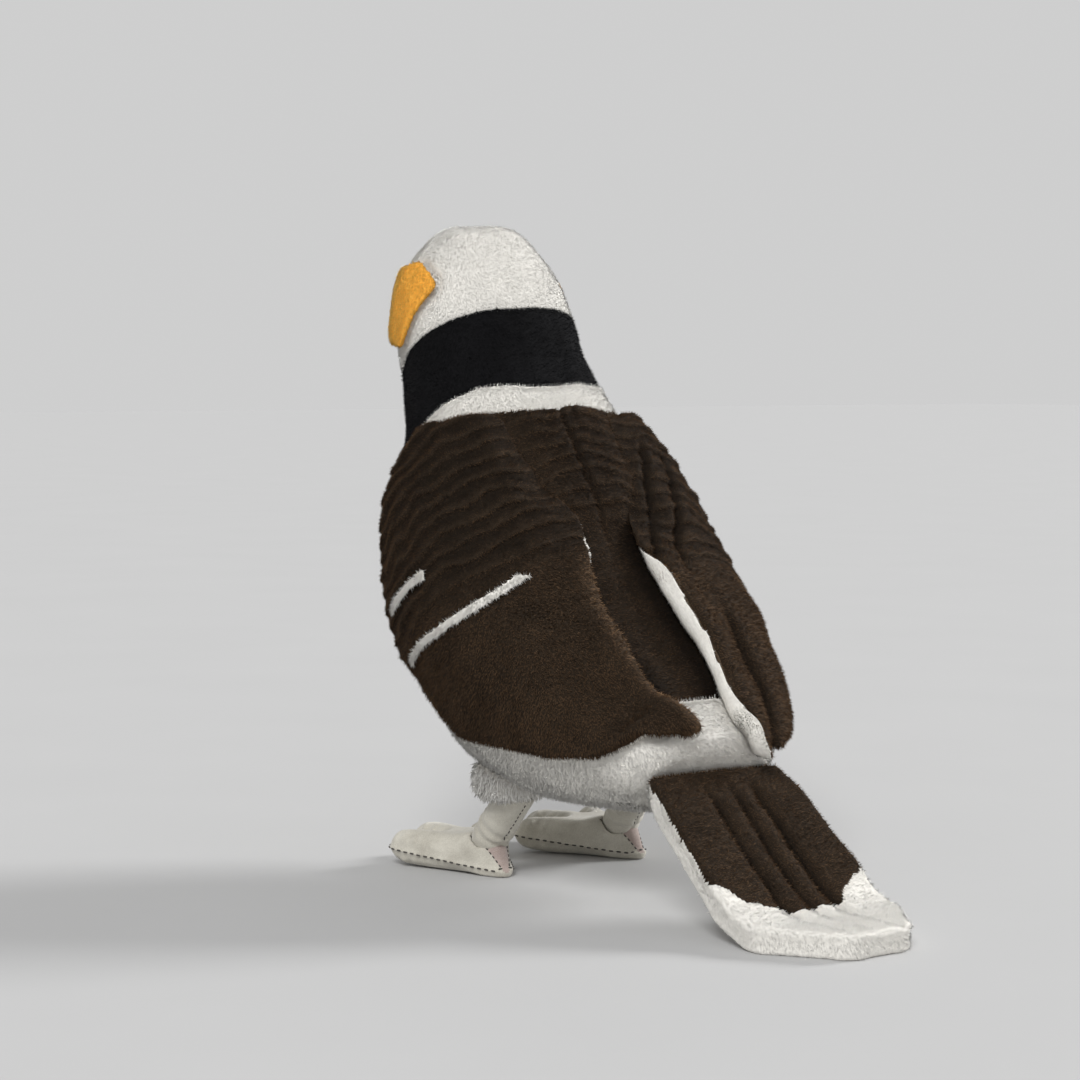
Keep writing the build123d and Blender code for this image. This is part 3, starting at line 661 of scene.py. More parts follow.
def on_skin(co):
    """Nearest point of the body's cloth, its outward normal and the height over it, for points."""
    base, height = np.empty_like(co), np.empty(len(co))
    for i, point in enumerate(co):
        base[i], _, _, height[i] = filling_tree.find_nearest(point)
    up = (co - base) / np.maximum(height, 1e-6)[:, None]
    return base + up * BODY_CLOTH, up, height - BODY_CLOTH


def merge(co, name, side):
    """Thins the quilted shoulder towards its inner edge, where it is sewn down to the back."""
    sewn = ease(co[:, 2], MERGE_START[name], MERGE_START[name] + MERGE_RISE)
    thin = (1 - ease(edge_distance(co, name, side), -1 * MM, MERGE_WIDTH)) * sewn
    chosen = np.where(thin > 0.01)[0]
    base, up, height = on_skin(co[chosen])
    out = co.copy()
    out[chosen] = base + up * (height * (1 - MERGE_FLAT * thin[chosen]))[:, None]
    return out


def trimmed_edge(co, name, side):
    """Bends the left wing's edges to a fuller curve, and lowers the right one's tip."""
    inset = edge_distance(co, name, side)
    out = co.copy()
    if name == "left":
        shift, drop = np.interp(co[:, 2] / MM, *LEFT_SHIFT), np.interp(co[:, 1] / MM, *LEFT_DROP)
        out[:, 0] += shift * MM * (1 - ease(inset, -2 * MM, 24 * MM))
        out[:, 2] -= drop * MM * (1 - ease(co[:, 2], 0.058, 0.098))
    else:
        tip = (1 - ease(co[:, 2], 0.056, 0.090)) * (1 - ease(inset, 14 * MM, 34 * MM))
        out[:, 2] -= 5.0 * MM * tip
        out[:, 1] += 1.5 * MM * tip
    return out


CURL_HEIGHTS = (0.1335, 0.1205)  # the roll starts at the first height and is full at the second
CURL_SIDE = 0.004                # nothing to the left of this is rolled
CURL_STRIP = 12 * MM             # width of the cloth that is rolled, which grows to CURL_LENGTH
CURL_LENGTH = 19.0 * MM
CURL_FLAT = 8.5 * MM             # how much of it still lies flat, over the gap
CURL_GAP = 0.4 * MM
CURL_RADIUS = 3.2 * MM
CURL_TURN = math.radians(125)
LINING_MOST = 0.9 * MM           # the lining keeps its thickness; only the wadding over it thins


def curl(co):
    """Rolls the right wing's inner edge up and over, so that its white lining shows."""
    inset = edge_distance(co, "right", -1)
    amount = ease(co[:, 2], *CURL_HEIGHTS)
    chosen = np.where((inset < CURL_STRIP) & (amount > 0) & (co[:, 0] < CURL_SIDE))[0]
    base, up, height = on_skin(co[chosen])
    from_strip = CURL_STRIP - inset[chosen]
    run = from_strip * (1 + amount[chosen] * (CURL_LENGTH / CURL_STRIP - 1))
    slide = np.minimum(run, CURL_FLAT) - from_strip
    base[:, 0] += slide
    base, up, _ = on_skin(base + up * 3 * MM)
    along = unit(np.array([1.0, 0, 0]) - up * up[:, :1])
    bend = np.maximum(run - CURL_FLAT, 0)
    angle = np.minimum(bend / CURL_RADIUS, CURL_TURN)
    rest = np.maximum(bend - CURL_RADIUS * CURL_TURN, 0)
    cos, sin = np.cos(angle)[:, None], np.sin(angle)[:, None]
    turned, stand = along * cos + up * sin, up * cos - along * sin
    thin = 1 - 0.55 * ease(run, 4 * MM, 13 * MM)
    room = CURL_RADIUS * 0.75 + 8 * MM * (1 - ease(bend, 0, 3 * MM))
    over = height - CURL_GAP
    layer = np.clip(over, 0, LINING_MOST)
    out = co.copy()
    out[chosen] = (
        base + up * CURL_GAP
        + along * (CURL_RADIUS * sin)
        + up * (CURL_RADIUS * (1 - cos))
        + turned * rest[:, None]
        + stand * np.minimum(layer + (over - layer) * thin, room)[:, None]
    )
    return out


# %% [markdown]
# ## Back and belly
# The brown back panel shows between the wings, with a seam down the upper part of its middle. The
# white belly panel wraps the underside, the rump and the breast. Lower down the wings stand over the
# back and leave it in their shade, and that shade is also painted onto the back, darkest along the
# wings' edges. Higher up its seam and the quilting's grooves get painted shade.

# %% Back and belly
BACK_HALF = 24 * MM              # half width of the strip between the wings
BACK_LIFT, BACK_SINK = 3.2 * MM, 1.4 * MM   # where the quilting goes across it, and below that
BACK_SEAM_X, BACK_SEAM_WIDTH, BACK_SEAM_DEPTH = 2.5 * MM, 1.3 * MM, 1.8 * MM
back = remeshed("back_panel_plush", ["back_panel"], BROWN_PLUSH, 1.3, 5)
draw_in(back, tree_of(["belly_panel", "nape_band"]), 0.6, 2.2, sink_mm=0.4)
co, no = coordinates(back), normals(back)
between = np.exp(-((co[:, 0] / BACK_HALF) ** 4)) * np.clip(no[:, 1] * 3, 0, 1)
joined = ease(co[:, 2], 136 * MM, 152 * MM)
rise, groove_shade = quilting(co, "left")
seam = bell(co[:, 0], BACK_SEAM_X, BACK_SEAM_WIDTH) * ease(co[:, 2], 120 * MM, 150 * MM)
lift = between * (joined * (BACK_LIFT + rise) - (1 - joined) * BACK_SINK - BACK_SEAM_DEPTH * seam)
# painted shadow of the wings on the strip below where they are sewn down, darkest along their edges,
# and painted shade in the quilting's grooves and the seam
inner = np.maximum(edge_distance(co, "left", 1), edge_distance(co, "right", -1)) / MM
shadow = (1 - joined) * (0.35 + 0.65 * bell(np.maximum(-inner, 0), 0, 6.0))
set_painted_shading(back, np.maximum(between * np.maximum(groove_shade * joined, 0.8 * seam), shadow))
move_to(back, lumpy(co + no * lift[:, None]))
belly = remeshed("belly_panel_plush", ["belly_panel"], WHITE_PLUSH, 1.15, 4)
draw_in(belly, tree_of(["back_panel", "collar_band"]), 0.6, 2.2, sink_mm=PILE_ROOM)
move_to(belly, lumpy(coordinates(belly)))
PANELS = ((back, "back_panel", "brown_plush"), (belly, "belly_panel", "white_plush"))
for panel, node_name, slot in PANELS:
    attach(panel, "torso")
    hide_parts(node_name)


def open_back(points, facing):
    """The part of the back that the wings leave bare, and a little way under their edges."""
    return outward(points, facing) & (np.abs(points[:, 0]) < 34 * MM)


back_fur = pile(back, "back_panel_pile", 1.6, 0.42, 3.4, keep=open_back, seed=21)
belly_fur = pile(belly, "belly_panel_pile", 2.2, 0.5, 1.8, keep=outward, seed=22,
                 nap=(0, 0.7, -0.4))
for fur in (back_fur, belly_fur):
    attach(fur, "torso")

# %% [markdown]
# ## Wings
# The quilted shoulder and the free flap of a wing are one mesh. Its inner edge is a thick rounded
# rim, with a painted highlight that makes it a little lighter than the rest. The right wing's is
# rolled over low down, so that the lining shows as a white stripe, and a fold runs down beside it,
# with painted shade in it; the left wing's lining just peeps out. The quilting's grooves get painted
# shade as well.

# %% Wings
TIP_ROUNDS, TIP_SHARE = 14, 0.6  # how often and how much the curled tip's folds are ironed
FOLD_START, FOLD_END = (22, -4, 158), (22, 14, 138)   # mm; two points near a wing's inner edge, at these heights
BODY_MIDDLE = np.array([0, -0.03, 0.11])
RIGHT_FOLD = ([60, 80, 100, 118], [-24, -31, -33, -33])   # the fold's x in mm, at heights in mm


def curled_tip(co, inset):
    """1 at the low end of the right wing's rolled edge, 0 away from it."""
    return ease(inset, 20 * MM, 12 * MM) * ease(co[:, 2], 0.104, 0.088)


def wing_top(name, side, node_names):
    """The brown side of a wing, from the quilted shoulder to its tip."""
    top = remeshed(f"{name}_wing_plush", node_names, BROWN_PLUSH, 1.1, 7)
    co, no = coordinates(top), normals(top)
    looks_out = np.clip((no * (co - BODY_MIDDLE)).sum(1) / 0.02, 0, 1)
    rise, groove_shade = quilting(co, name)
    inset = edge_distance(co, name, side) / MM
    low = ease(co[:, 2], 0.140, 0.120)
    if name == "right":
        ridge = 2.2 * bell(inset, 10, 4.5) * low
        fold_x = np.interp(co[:, 2] / MM, *RIGHT_FOLD)
        fold = bell(co[:, 0] / MM, fold_x, 3.2) * ease(co[:, 2], 0.118, 0.098)
        rise = rise + (ridge - 3.6 * fold) * MM
        # painted shade in the fold
        groove_shade = np.maximum(groove_shade, 0.8 * fold)
    # a painted highlight on the inner edge's rounded rim
    rim = 1.7 * bell(inset, 1.5, 4.5) * low
    co = co + no * ((rise + 1.8 * MM * bell(inset, 6, 5) * low) * looks_out)[:, None]
    # painted shade in the grooves and fold, less the painted highlight on the rim
    set_painted_shading(top, groove_shade * looks_out - rim)
    tip = curled_tip(co, inset * MM)
    co = trimmed_edge(merge(co, name, side), name, side)
    if name == "right":
        co = relaxed(top, curl(co), TIP_SHARE * tip, TIP_ROUNDS)
    move_to(top, lumpy(co))
    return top


def wing_lining(name, side):
    """The white side of a wing."""
    lining = remeshed(f"{name}_wing_lining_plush", [f"{name}_wing_lining"], WHITE_PLUSH, 0.7, 2)
    co = coordinates(lining)
    inset = edge_distance(co, name, side)
    co = trimmed_edge(merge(co, name, side), name, side)
    at_edge = 1 - ease(inset, 0, 7 * MM)
    if name == "right":
        co[:, 0] -= 2.6 * MM * at_edge * ease(co[:, 2], 0.129, 0.136)
        co = relaxed(lining, curl(co), TIP_SHARE * curled_tip(co, inset), TIP_ROUNDS)
    else:
        peep = 1.6 * ease(co[:, 2], 0.152, 0.135) + 2.6 * bell(co[:, 2], 0.130, 0.006)
        co[:, 0] -= peep * MM * at_edge
    move_to(lining, lumpy(co))
    return lining


def wing_bars(name):
    """The white strips on a wing, with frayed edges, lying on the brown plush."""
    bars = remeshed(f"{name}_wing_bars_plush", [f"{name}_wing_bars"], WHITE_PLUSH, 0.45, 1)
    co = coordinates(bars)
    co = co + normals(bars) * (ripple(co, 1.6, 4.0) * 0.35 * MM)[:, None]
    move_to(bars, lumpy(co + on_skin(co)[1] * 0.5 * MM))
    return bars


for name, side in (("left", 1), ("right", -1)):
    top_nodes = [f"{name}_{part}" for part in
                 ("shoulder_quilt", "shoulder_batting", "wing_cover", "wing_batting")]
    top, lining, bars = wing_top(name, side, top_nodes), wing_lining(name, side), wing_bars(name)

    def off_roll(points, facing):
        """All of a wing's outer side but the right one's rolled edge."""
        rolled = (edge_distance(points, name, side) < 5 * MM) & (points[:, 2] < 0.12)
        return outward(points, facing) & ~((side < 0) & rolled)

    def shorter_quilted(points):
        """Pile is flattened by a third on the quilted part."""
        return 1 - 0.35 * (1 - free_share(body_coordinates(points)[0], name))

    def near_edge(points, facing):
        """The part of the lining that can be seen."""
        return edge_distance(points, name, side) < 14 * MM

    furs = [
        pile(top, f"{name}_wing_pile", 2.0, 0.42, 3.4, seed=31 + side, keep=off_roll,
             trim=shorter_quilted),
        pile(lining, f"{name}_wing_lining_pile", 1.0, 0.4, 3.0, keep=near_edge, seed=33 + side),
        pile(bars, f"{name}_wing_bars_pile", 1.7, 0.42, 6.0, keep=outward, seed=35 + side),
    ]
    start, end = ([side * x * MM, y * MM, z * MM] for x, y, z in (FOLD_START, FOLD_END))
    for piece in (top, lining, bars, *furs):
        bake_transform(piece)
    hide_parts(*top_nodes)
    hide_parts(f"{name}_wing_lining")
    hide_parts(f"{name}_wing_bars")

# %% [markdown]
# ## Tail
# The tail is a flat padded piece: brown plush over wadding, white underneath and at its scalloped
# tip. Three stitched channels press it into four feathers, so the padding swells between them, and
# the channels get painted shade.

# %% Tail
TAIL_NODES = ["tail_cover", "tail_tip_panel", "tail_batting", "tail_lining"]
CHANNELS = [(9.0, 12.5), (-2.0, 1.0), (-12.0, -12.0)]   # x in mm at the tail's root and at its tip
CHANNEL_DEPTHS = [3.0, 3.0, 4.2]
TAIL_ROOT_Y, TAIL_END_Y = 0.070, 0.148
TAIL_PUFF = 1.4                  # mm that the tail's top swells between the channels
TAIL_NAP = (0, 0.8, -0.6)


def channel_depth(co):
    """How far a stitched channel pulls the tail in, in mm, and how deep in it a point lies, which
    also sets the channel's painted shade.
    """
    along = np.clip((co[:, 1] - TAIL_ROOT_Y) / (TAIL_END_Y - TAIL_ROOT_Y), 0, 1.2)
    x = co[:, 0] / MM + ripple(co, 11, 60.0) * 0.7
    pull, shade = np.zeros(len(co)), np.zeros(len(co))
    for (at_root, at_tip), deep in zip(CHANNELS, CHANNEL_DEPTHS):
        far = np.abs(x - (at_root + (at_tip - at_root) * along))
        pull = np.maximum(pull, deep * np.exp(-far / 2.3))
        shade = np.maximum(shade, bell(far, 0, 0.45 * deep))
    return pull, shade


tail = remeshed("tail_plush", TAIL_NODES, BROWN_PLUSH, 1.0, 7)
co, no = coordinates(tail), normals(tail)
pull, shade = channel_depth(co)
on_tail = ease(co[:, 1], 0.066, 0.080)
open_end = 1 - 0.8 * ease(co[:, 1], 0.120, 0.142)
top_side = np.clip(no[:, 2] * 2.0, 0, 1)
# painted shade in the stitched channels of the brown top, weaker towards the open end
set_painted_shading(tail, shade * on_tail * open_end * top_side)
sides = np.where(no[:, 2] > -0.1, top_side, 0.25)
rise = (TAIL_PUFF - pull * open_end + ripple(co, 8, 66.0) * 0.3) * on_tail * sides
co = co + no * (rise * MM)[:, None]
co[:, 0] *= 1 - 0.07 * ease(co[:, 1], 0.105, 0.140)
co = co + wander(co, 18, (71.0, 83.0, 97.0)) * np.array([0.8, 0.8, 0.35]) * MM
co[:, 2] = np.maximum(co[:, 2], FLOOR_GAP)
move_to(tail, co)


def part_of(source, name, chosen, material):
    """A new piece from the chosen faces of another."""
    faces = [tuple(p.vertices) for p, keep in zip(source.data.polygons, chosen) if keep]
    used = sorted({i for f in faces for i in f})
    lookup = {old: new for new, old in enumerate(used)}
    faces = [[lookup[i] for i in f] for f in faces]
    part = mesh_object(name, coordinates(source)[used], faces, material)
    # the piece keeps the painted shade and painted highlight of its vertices
    painted_shadings = painted_shading_of(source.data)
    if painted_shadings is not None:
        set_painted_shading(part, painted_shadings[used])
    return part


def centres_of(made):
    """Middle of each face of an object."""
    return np.array([p.center for p in made.data.polygons])


def before_tip(points, facing):
    """True on the brown top, false on the white tip, edge and underside."""
    x = points[:, 0] / MM
    _, shade = channel_depth(points)
    ragged = 1.0 * np.sin(x / 2.9) + 0.6 * np.sin(x / 1.3 + 1)
    seam = 122.0 - 15.0 * (np.abs(x) / 34.0) ** 1.7 - 3.0 * shade + ragged
    return (facing[:, 2] > 0.12) & (points[:, 1] / MM < seam)


centres = centres_of(tail)
facings = np.array([p.normal for p in tail.data.polygons])
from_lining, _ = nearest(centres, tree_of(["tail_lining"]), 4 * MM)
is_brown = before_tip(centres, facings) & (from_lining > 2.4 * MM)
tail_top = part_of(tail, "tail_top_plush", is_brown, BROWN_PLUSH)
tail_white = part_of(tail, "tail_white_plush", ~is_brown, WHITE_PLUSH)
bpy.data.objects.remove(tail)
tail_furs = [
    pile(tail_top, "tail_top_pile", 1.6, 0.42, 3.4, nap=TAIL_NAP, seed=41),
    pile(tail_white, "tail_white_pile", 1.7, 0.45, 2.0, nap=TAIL_NAP, seed=42,
         keep=lambda points, facing: facing[:, 2] > -0.2),
]
for piece in (tail_top, tail_white, *tail_furs):
    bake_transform(piece)
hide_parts("tail_cover", "tail_batting")
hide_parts("tail_tip_panel", "tail_lining")

# %% [markdown]
# ## Thigh cuffs
# The legs go up into two fluffy cuffs of longer white plush, whose ragged ends hang over the suede.

# %% Thigh cuffs
CUFF_SHARE = 0.72                # the cuff's height as a share of its cloth; pile hangs below it
CUFF_LOW, CUFF_TALL = 0.028, 0.020   # where its bulge starts, and how high that is
LEVEL, UPRIGHT = np.array([1, 1, 0]), np.array([0, 0, 1])   # keep the place, keep the height
for name, side in (("left", 1), ("right", -1)):
    cuff = remeshed(f"{name}_thigh_cuff_plush", [f"{name}_thigh_cuff"], FLUFFY_PLUSH, 1.2, 6)
    co = coordinates(cuff)
    centre = co.mean(0)
    flat = (co - centre) * LEVEL
    bulge = 1.0 + 0.10 * np.sin(np.clip((co[:, 2] - CUFF_LOW) / CUFF_TALL, 0, 1) * math.pi)
    co = centre * LEVEL + flat * bulge[:, None] + co * UPRIGHT
    top_of_cuff = co[:, 2].max()
    co[:, 2] = top_of_cuff - (top_of_cuff - co[:, 2]) * CUFF_SHARE
    move_to(cuff, lumpy(co))
    fur = pile(cuff, f"{name}_thigh_cuff_pile", 3.2, 0.5, 3.0, nap=(0, 0.1, -1), seed=51 + side,
               droop=0.5)
    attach(cuff, "torso")
    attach(fur, "torso")
    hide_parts(f"{name}_thigh_cuff")

# %% [markdown]
# ## Legs and feet
# A leg is a stuffed suede tube with its seam at the back. A foot is two toe-shaped pieces sewn edge
# to edge with dark thread, a bulging sole below and the upper above, and a pinkish gusset at the
# heel. Each foot is one remeshed volume that is then parted along the seam line into its cloths.

# %% Legs and feet
LEG_DATA = {
    "left": {"ankle": (31.5, -40.0, 14.5), "hip": (30.5, -22.0, 35.0), "yaw": 0.0},
    "right": {"ankle": (-33.5, -40.0, 14.5), "hip": (-30.5, -22.0, 35.0), "yaw": 13.0},
}
STITCH_PITCH = 3.2 * MM
PILLOW_MM = 6.5                  # from a foot's seam to where its stuffed top and sole are full
HEEL_MM = -13                    # how far ahead of the ankle the heel's end is
FAR = 0.09                       # rays towards a foot start this far from its ankle
STITCH_RINGS = ((-0.5, 0.35), (-0.32, 1.0), (0.32, 1.0), (0.5, 0.35))   # place along it, thickness
THREAD_SIDES = 6


def foot_axes(name):
    """Forward and leftward directions of a foot."""
    yaw = math.radians(LEG_DATA[name]["yaw"])
    forward = np.array([math.sin(yaw), -math.cos(yaw), 0])
    return forward, np.array([-forward[1], forward[0], 0])


def seam_height(forward_mm):
    """Height of the foot's seam over the floor, in mm."""
    return 2.4 + 0.1 * (forward_mm - HEEL_MM)


def gusset_half(height_mm):
    """Half width of the heel gusset at a height, in mm."""
    return 1.2 + 0.42 * (height_mm - seam_height(HEEL_MM))


def tree_from(made):
    """Search tree over a mesh object."""
    faces = [tuple(p.vertices) for p in made.data.polygons]
    return BVHTree.FromPolygons([Vector(v) for v in coordinates(made)], faces)


def first_hit(shape, start, direction, reach):
    """Where a ray first meets a shape, or None."""
    hit = shape.ray_cast(Vector(start), Vector(direction), reach)[0]
    return None if hit is None else np.array(hit)


def surface_at(shape, point):
    """Nearest point of a shape, and its normal there."""
    hit = shape.find_nearest(Vector(point))
    return np.array(hit[0]), np.array(hit[1])


def outline_of(shape, ground, axes, step, height_at, goes=1):
    """Points round a foot, seen from its ankle every step degrees.

    height_at(mm ahead) gives their height in mm, and goes says how often it is followed.
    """
    points = []
    for degree in range(0, 360, step):
        turn = math.radians(degree)
        ray = axes[0] * math.cos(turn) + axes[1] * math.sin(turn)
        reach = 40.0
        for _ in range(goes):
            height = np.array([0, 0, height_at(reach * math.cos(turn)) * MM])
            hit = first_hit(shape, ground + ray * FAR + height, -ray, FAR)
            if hit is None:
                break
            reach = ((hit - ground) @ ray) / MM
        if hit is not None:
            points.append(hit)
    return np.array(points)


def stitches(name, places, directions, ups, length_mm, radius_mm):
    """Short lengths of thread lying on the cloth, as one mesh."""
    verts, faces = [], []
    for place, along, up in zip(places, directions, ups):
        along = along / np.linalg.norm(along)
        up = up - along * (up @ along)
        up /= max(np.linalg.norm(up), 1e-9)
        across = np.cross(along, up)
        start = len(verts)
        for t, size in STITCH_RINGS:
            for k in range(THREAD_SIDES):
                turn = 2 * math.pi * k / THREAD_SIDES
                out = (across * math.cos(turn) + up * math.sin(turn)) * radius_mm * MM * size
                verts.append(place + along * t * length_mm * MM + out)
        last = start + (len(STITCH_RINGS) - 1) * THREAD_SIDES
        for low in range(start, last, THREAD_SIDES):
            for k in range(THREAD_SIDES):
                a, b = low + k, low + (k + 1) % THREAD_SIDES
                faces.append((a, b, b + THREAD_SIDES, a + THREAD_SIDES))
        faces.append(tuple(start + k for k in reversed(range(THREAD_SIDES))))
        faces.append(tuple(last + k for k in range(THREAD_SIDES)))
    return mesh_object(name, verts, faces, DARK_THREAD)


def even_steps(points, pitch, closed=False):
    """Points and directions spaced evenly along a path."""
    points = np.asarray(points)
    if closed:
        points = np.vstack([points, points[:1]])
    steps = np.linalg.norm(np.diff(points, axis=0), axis=1)
    run = np.concatenate([[0], np.cumsum(steps)])
    count = max(int(run[-1] / pitch), 2)
    at = (np.arange(count) + 0.5) * run[-1] / count
    place, ahead, behind = (
        np.stack([np.interp(spots, run, points[:, i]) for i in range(3)], axis=1)
        for spots in (at, at + 0.3 * MM, at - 0.3 * MM)
    )
    return place, ahead - behind


def foot_form(name, side, ground, axes):
    """A whole foot: flat toes that are pillowed from their seam, and a heel that stands up."""
    nodes = [f"{name}_{part}" for part in
             ("foot_upper", "foot_sole", "heel_gusset", "foot_filling")]
    foot = remeshed(f"{name}_foot_form", nodes, GREY_SUEDE, 0.9, 6)
    co = coordinates(foot)
    rim = outline_of(tree_from(foot), ground, axes, 2, lambda ahead: 6.0)
    inside = np.array([np.sqrt(((rim[:, :2] - p[:2]) ** 2).sum(1)).min() for p in co]) / MM
    ahead, aside = ((co - ground) @ axis / MM for axis in axes)
    lift = np.clip(co[:, 2] / MM / 16, 0, 1)
    toes = ease(ahead, -6, 9)
    seam_z = seam_height(ahead)
    full = np.sqrt(1 - (1 - np.clip(inside / PILLOW_MM, 0.05, 1)) ** 2)
    over = co[:, 2] / MM - seam_z
    raised = np.where(over > 0, over + 1.6 * ease(ahead, 14, 32), over)
    co[:, 2] = (seam_z + raised * (1 - toes * (1 - full))) * MM
    heel = 1 - ease(ahead, -14, 2)
    co = co + axes[0] * (6.5 * MM * lift * heel)[:, None]
    crown = np.exp(-((ahead - 2) / 9) ** 2 - (aside / 9) ** 2)
    co[:, 2] += 2.2 * MM * crown * lift
    move_to(foot, co)
    foot = even(foot, 0.8, 5)
    co, no = coordinates(foot), normals(foot)
    ahead = (co - ground) @ axes[0] / MM
    co = co + no * (ripple(co, 12, 5.0 * side) * 0.45 * MM)[:, None]
    seam_far = np.abs(co[:, 2] / MM - seam_height(ahead))
    co = co + no * LEVEL * (0.8 * MM * bell(seam_far, 0, 1.0))[:, None]
    co[:, 2] = np.maximum(co[:, 2], 0.05 * MM)
    move_to(foot, co)
    return foot


def heel_stitches(shape, ground, axes):
    """Places, directions and normals of the stitches down both sides of the heel gusset."""
    found = []
    for edge in (1, -1):
        path = []
        for z in np.linspace(4.0, 15.5, 24):
            across = axes[1] * (edge * gusset_half(z)) * MM
            start = ground + across - axes[0] * 0.03 + np.array([0, 0, z * MM])
            hit = first_hit(shape, start, axes[0], 0.05)
            if hit is not None:
                path.append(hit)
        for point, along in zip(*even_steps(path, 2.0 * MM)):
            place, up = surface_at(shape, point)
            found.append((place + up * 0.1 * MM, along, up))
    return zip(*found)


def leg_tube(name, ankle, hip):
    """A stuffed suede tube with creases over the ankle and a seam drawn in at the back."""
    leg = remeshed(f"{name}_leg_suede", [f"{name}_leg_sleeve"], GREY_SUEDE, 0.8, 4)
    co, no = coordinates(leg), normals(leg)
    along = (co - ankle) @ (hip - ankle) / np.dot(hip - ankle, hip - ankle)
    waves = np.sin(along * 34 + ripple(co, 9, 8.0) * 2.0)
    crease = 0.45 * MM * waves * bell(along, 0.25, 0.22)
    behind = bell(co[:, 0], ankle[0], 1.1 * MM) * (no[:, 1] > 0.3)
    rise = crease - 0.5 * MM * behind + ripple(co, 7, 12.0) * 0.25 * MM
    move_to(leg, co + no * rise[:, None])
    return leg


for name, side in (("left", 1), ("right", -1)):
    axes = foot_axes(name)
    ankle, hip = (np.array(LEG_DATA[name][joint]) * MM for joint in ("ankle", "hip"))
    ground = ankle * LEVEL
    foot = foot_form(name, side, ground, axes)
    centres = centres_of(foot)
    ahead, aside = ((centres - ground) @ axis / MM for axis in axes)
    above = centres[:, 2] / MM > seam_height(ahead)
    in_gusset = above & (ahead < -1.5) & (np.abs(aside) < gusset_half(centres[:, 2] / MM))
    upper = part_of(foot, f"{name}_foot_upper_suede", above & ~in_gusset, GREY_SUEDE)
    sole = part_of(foot, f"{name}_foot_sole_suede", ~above, GREY_SUEDE)
    gusset = part_of(foot, f"{name}_heel_gusset_suede", in_gusset, PINK_SUEDE)
    shape = tree_from(foot)
    outline = outline_of(shape, ground, axes, 1, seam_height, goes=3)
    points, directions = even_steps(outline, STITCH_PITCH, closed=True)
    places, ups = zip(*(surface_at(shape, point) for point in points))
    places = [place + up * 0.15 * MM for place, up in zip(places, ups)]
    seam = stitches(f"{name}_foot_seam_thread", places, directions, ups, 1.9, 0.34)
    side_seam = stitches(f"{name}_heel_seam_thread", *heel_stitches(shape, ground, axes),
                         1.3, 0.26)
    bpy.data.objects.remove(foot)
    for piece in (upper, sole, gusset, seam, side_seam):
        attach(piece, f"{name}_foot")
    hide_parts(f"{name}_foot_upper", f"{name}_foot_filling")
    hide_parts(f"{name}_foot_sole")
    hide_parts(f"{name}_heel_gusset")
    leg = leg_tube(name, ankle, hip)
    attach(leg, f"{name}_leg")
    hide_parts(f"{name}_leg_sleeve", f"{name}_leg_filling")
    tube = tree_from(leg)
    line = []
    for t in np.linspace(0.14, 0.95, 30):
        start = ankle + (hip - ankle) * t + np.array([0, 0.03, -0.012])
        hit = first_hit(tube, start, (0, -0.93, 0.37), 0.05)
        if hit is not None:
            line.append(hit)
    places, directions = even_steps(line, 2.2 * MM)
    ups = [surface_at(tube, place)[1] for place in places]
    back_seam = stitches(f"{name}_leg_seam_thread", places, directions, ups, 1.4, 0.24)
    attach(back_seam, f"{name}_leg")
    print(f"{name} foot and leg: {len(points)} stitches round the foot, {len(ups)} up the leg")

# %% [markdown]
# ## Face
# The eye patches are orange plush under black safety eyes, and the bill is stuffed felt in two
# halves with the gape between them. None of it can be made out from behind, so it follows the real
# bird's face.

# %% Face
PATCH_PUFF = {"left": 1.1, "right": 0.0}      # mm; the right one lies flat on its cheek
PATCH_PILE = {"left": 1.2, "right": 0.7}


def give(node_name, material):
    """Gives a CAD node that is used as it is its material."""
    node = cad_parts[node_name]
    node.data.materials.clear()
    node.data.materials.append(material)


for name, side in (("left", 1), ("right", -1)):
    patch = remeshed(f"{name}_eye_patch_plush", [f"{name}_eye_patch"], ORANGE_PLUSH, 0.7, 5)
    co, no = coordinates(patch), normals(patch)
    eye_tree = tree_of([f"{name}_eye"])
    from_eye, _ = nearest(co, eye_tree, 8 * MM)
    puff = PATCH_PUFF[name] * ease(from_eye, 0.5 * MM, 5 * MM) * (no[:, 0] * side > 0.1)
    move_to(patch, lumpy(co + no * (puff * MM)[:, None]))

    def clear_of_eye(points, facing):
        """All of a patch's outer side but a rim round the eye."""
        return outward(points, facing) & (nearest(points, eye_tree, 4 * MM)[0] > 1.3 * MM)

    fur = pile(patch, f"{name}_eye_patch_pile", PATCH_PILE[name], 0.4, 4.0, seed=61 + side,
               keep=clear_of_eye)
    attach(patch, "torso")
    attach(fur, "torso")
    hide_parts(f"{name}_eye_patch")
    give(f"{name}_eye", EYE_PLASTIC)
for half in ("upper_bill", "lower_bill"):
    bill = remeshed(f"{half}_felt", [half], BILL_FELT, 0.5, 5)
    fuzz = pile(bill, f"{half}_nap", 0.7, 0.3, 2.0, nap=(0, -1, 0), lay=0.5, seed=70 + len(half))
    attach(bill, "torso")
    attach(fuzz, "torso")
    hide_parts(half)

# %% [markdown]
# ## What is inside
# Fibre fills the head and body, a bag of pellets gives the toy its weight, and a bent wire stiffens
# the legs. The filling keeps clear of the plush, so it never shows at a seam.

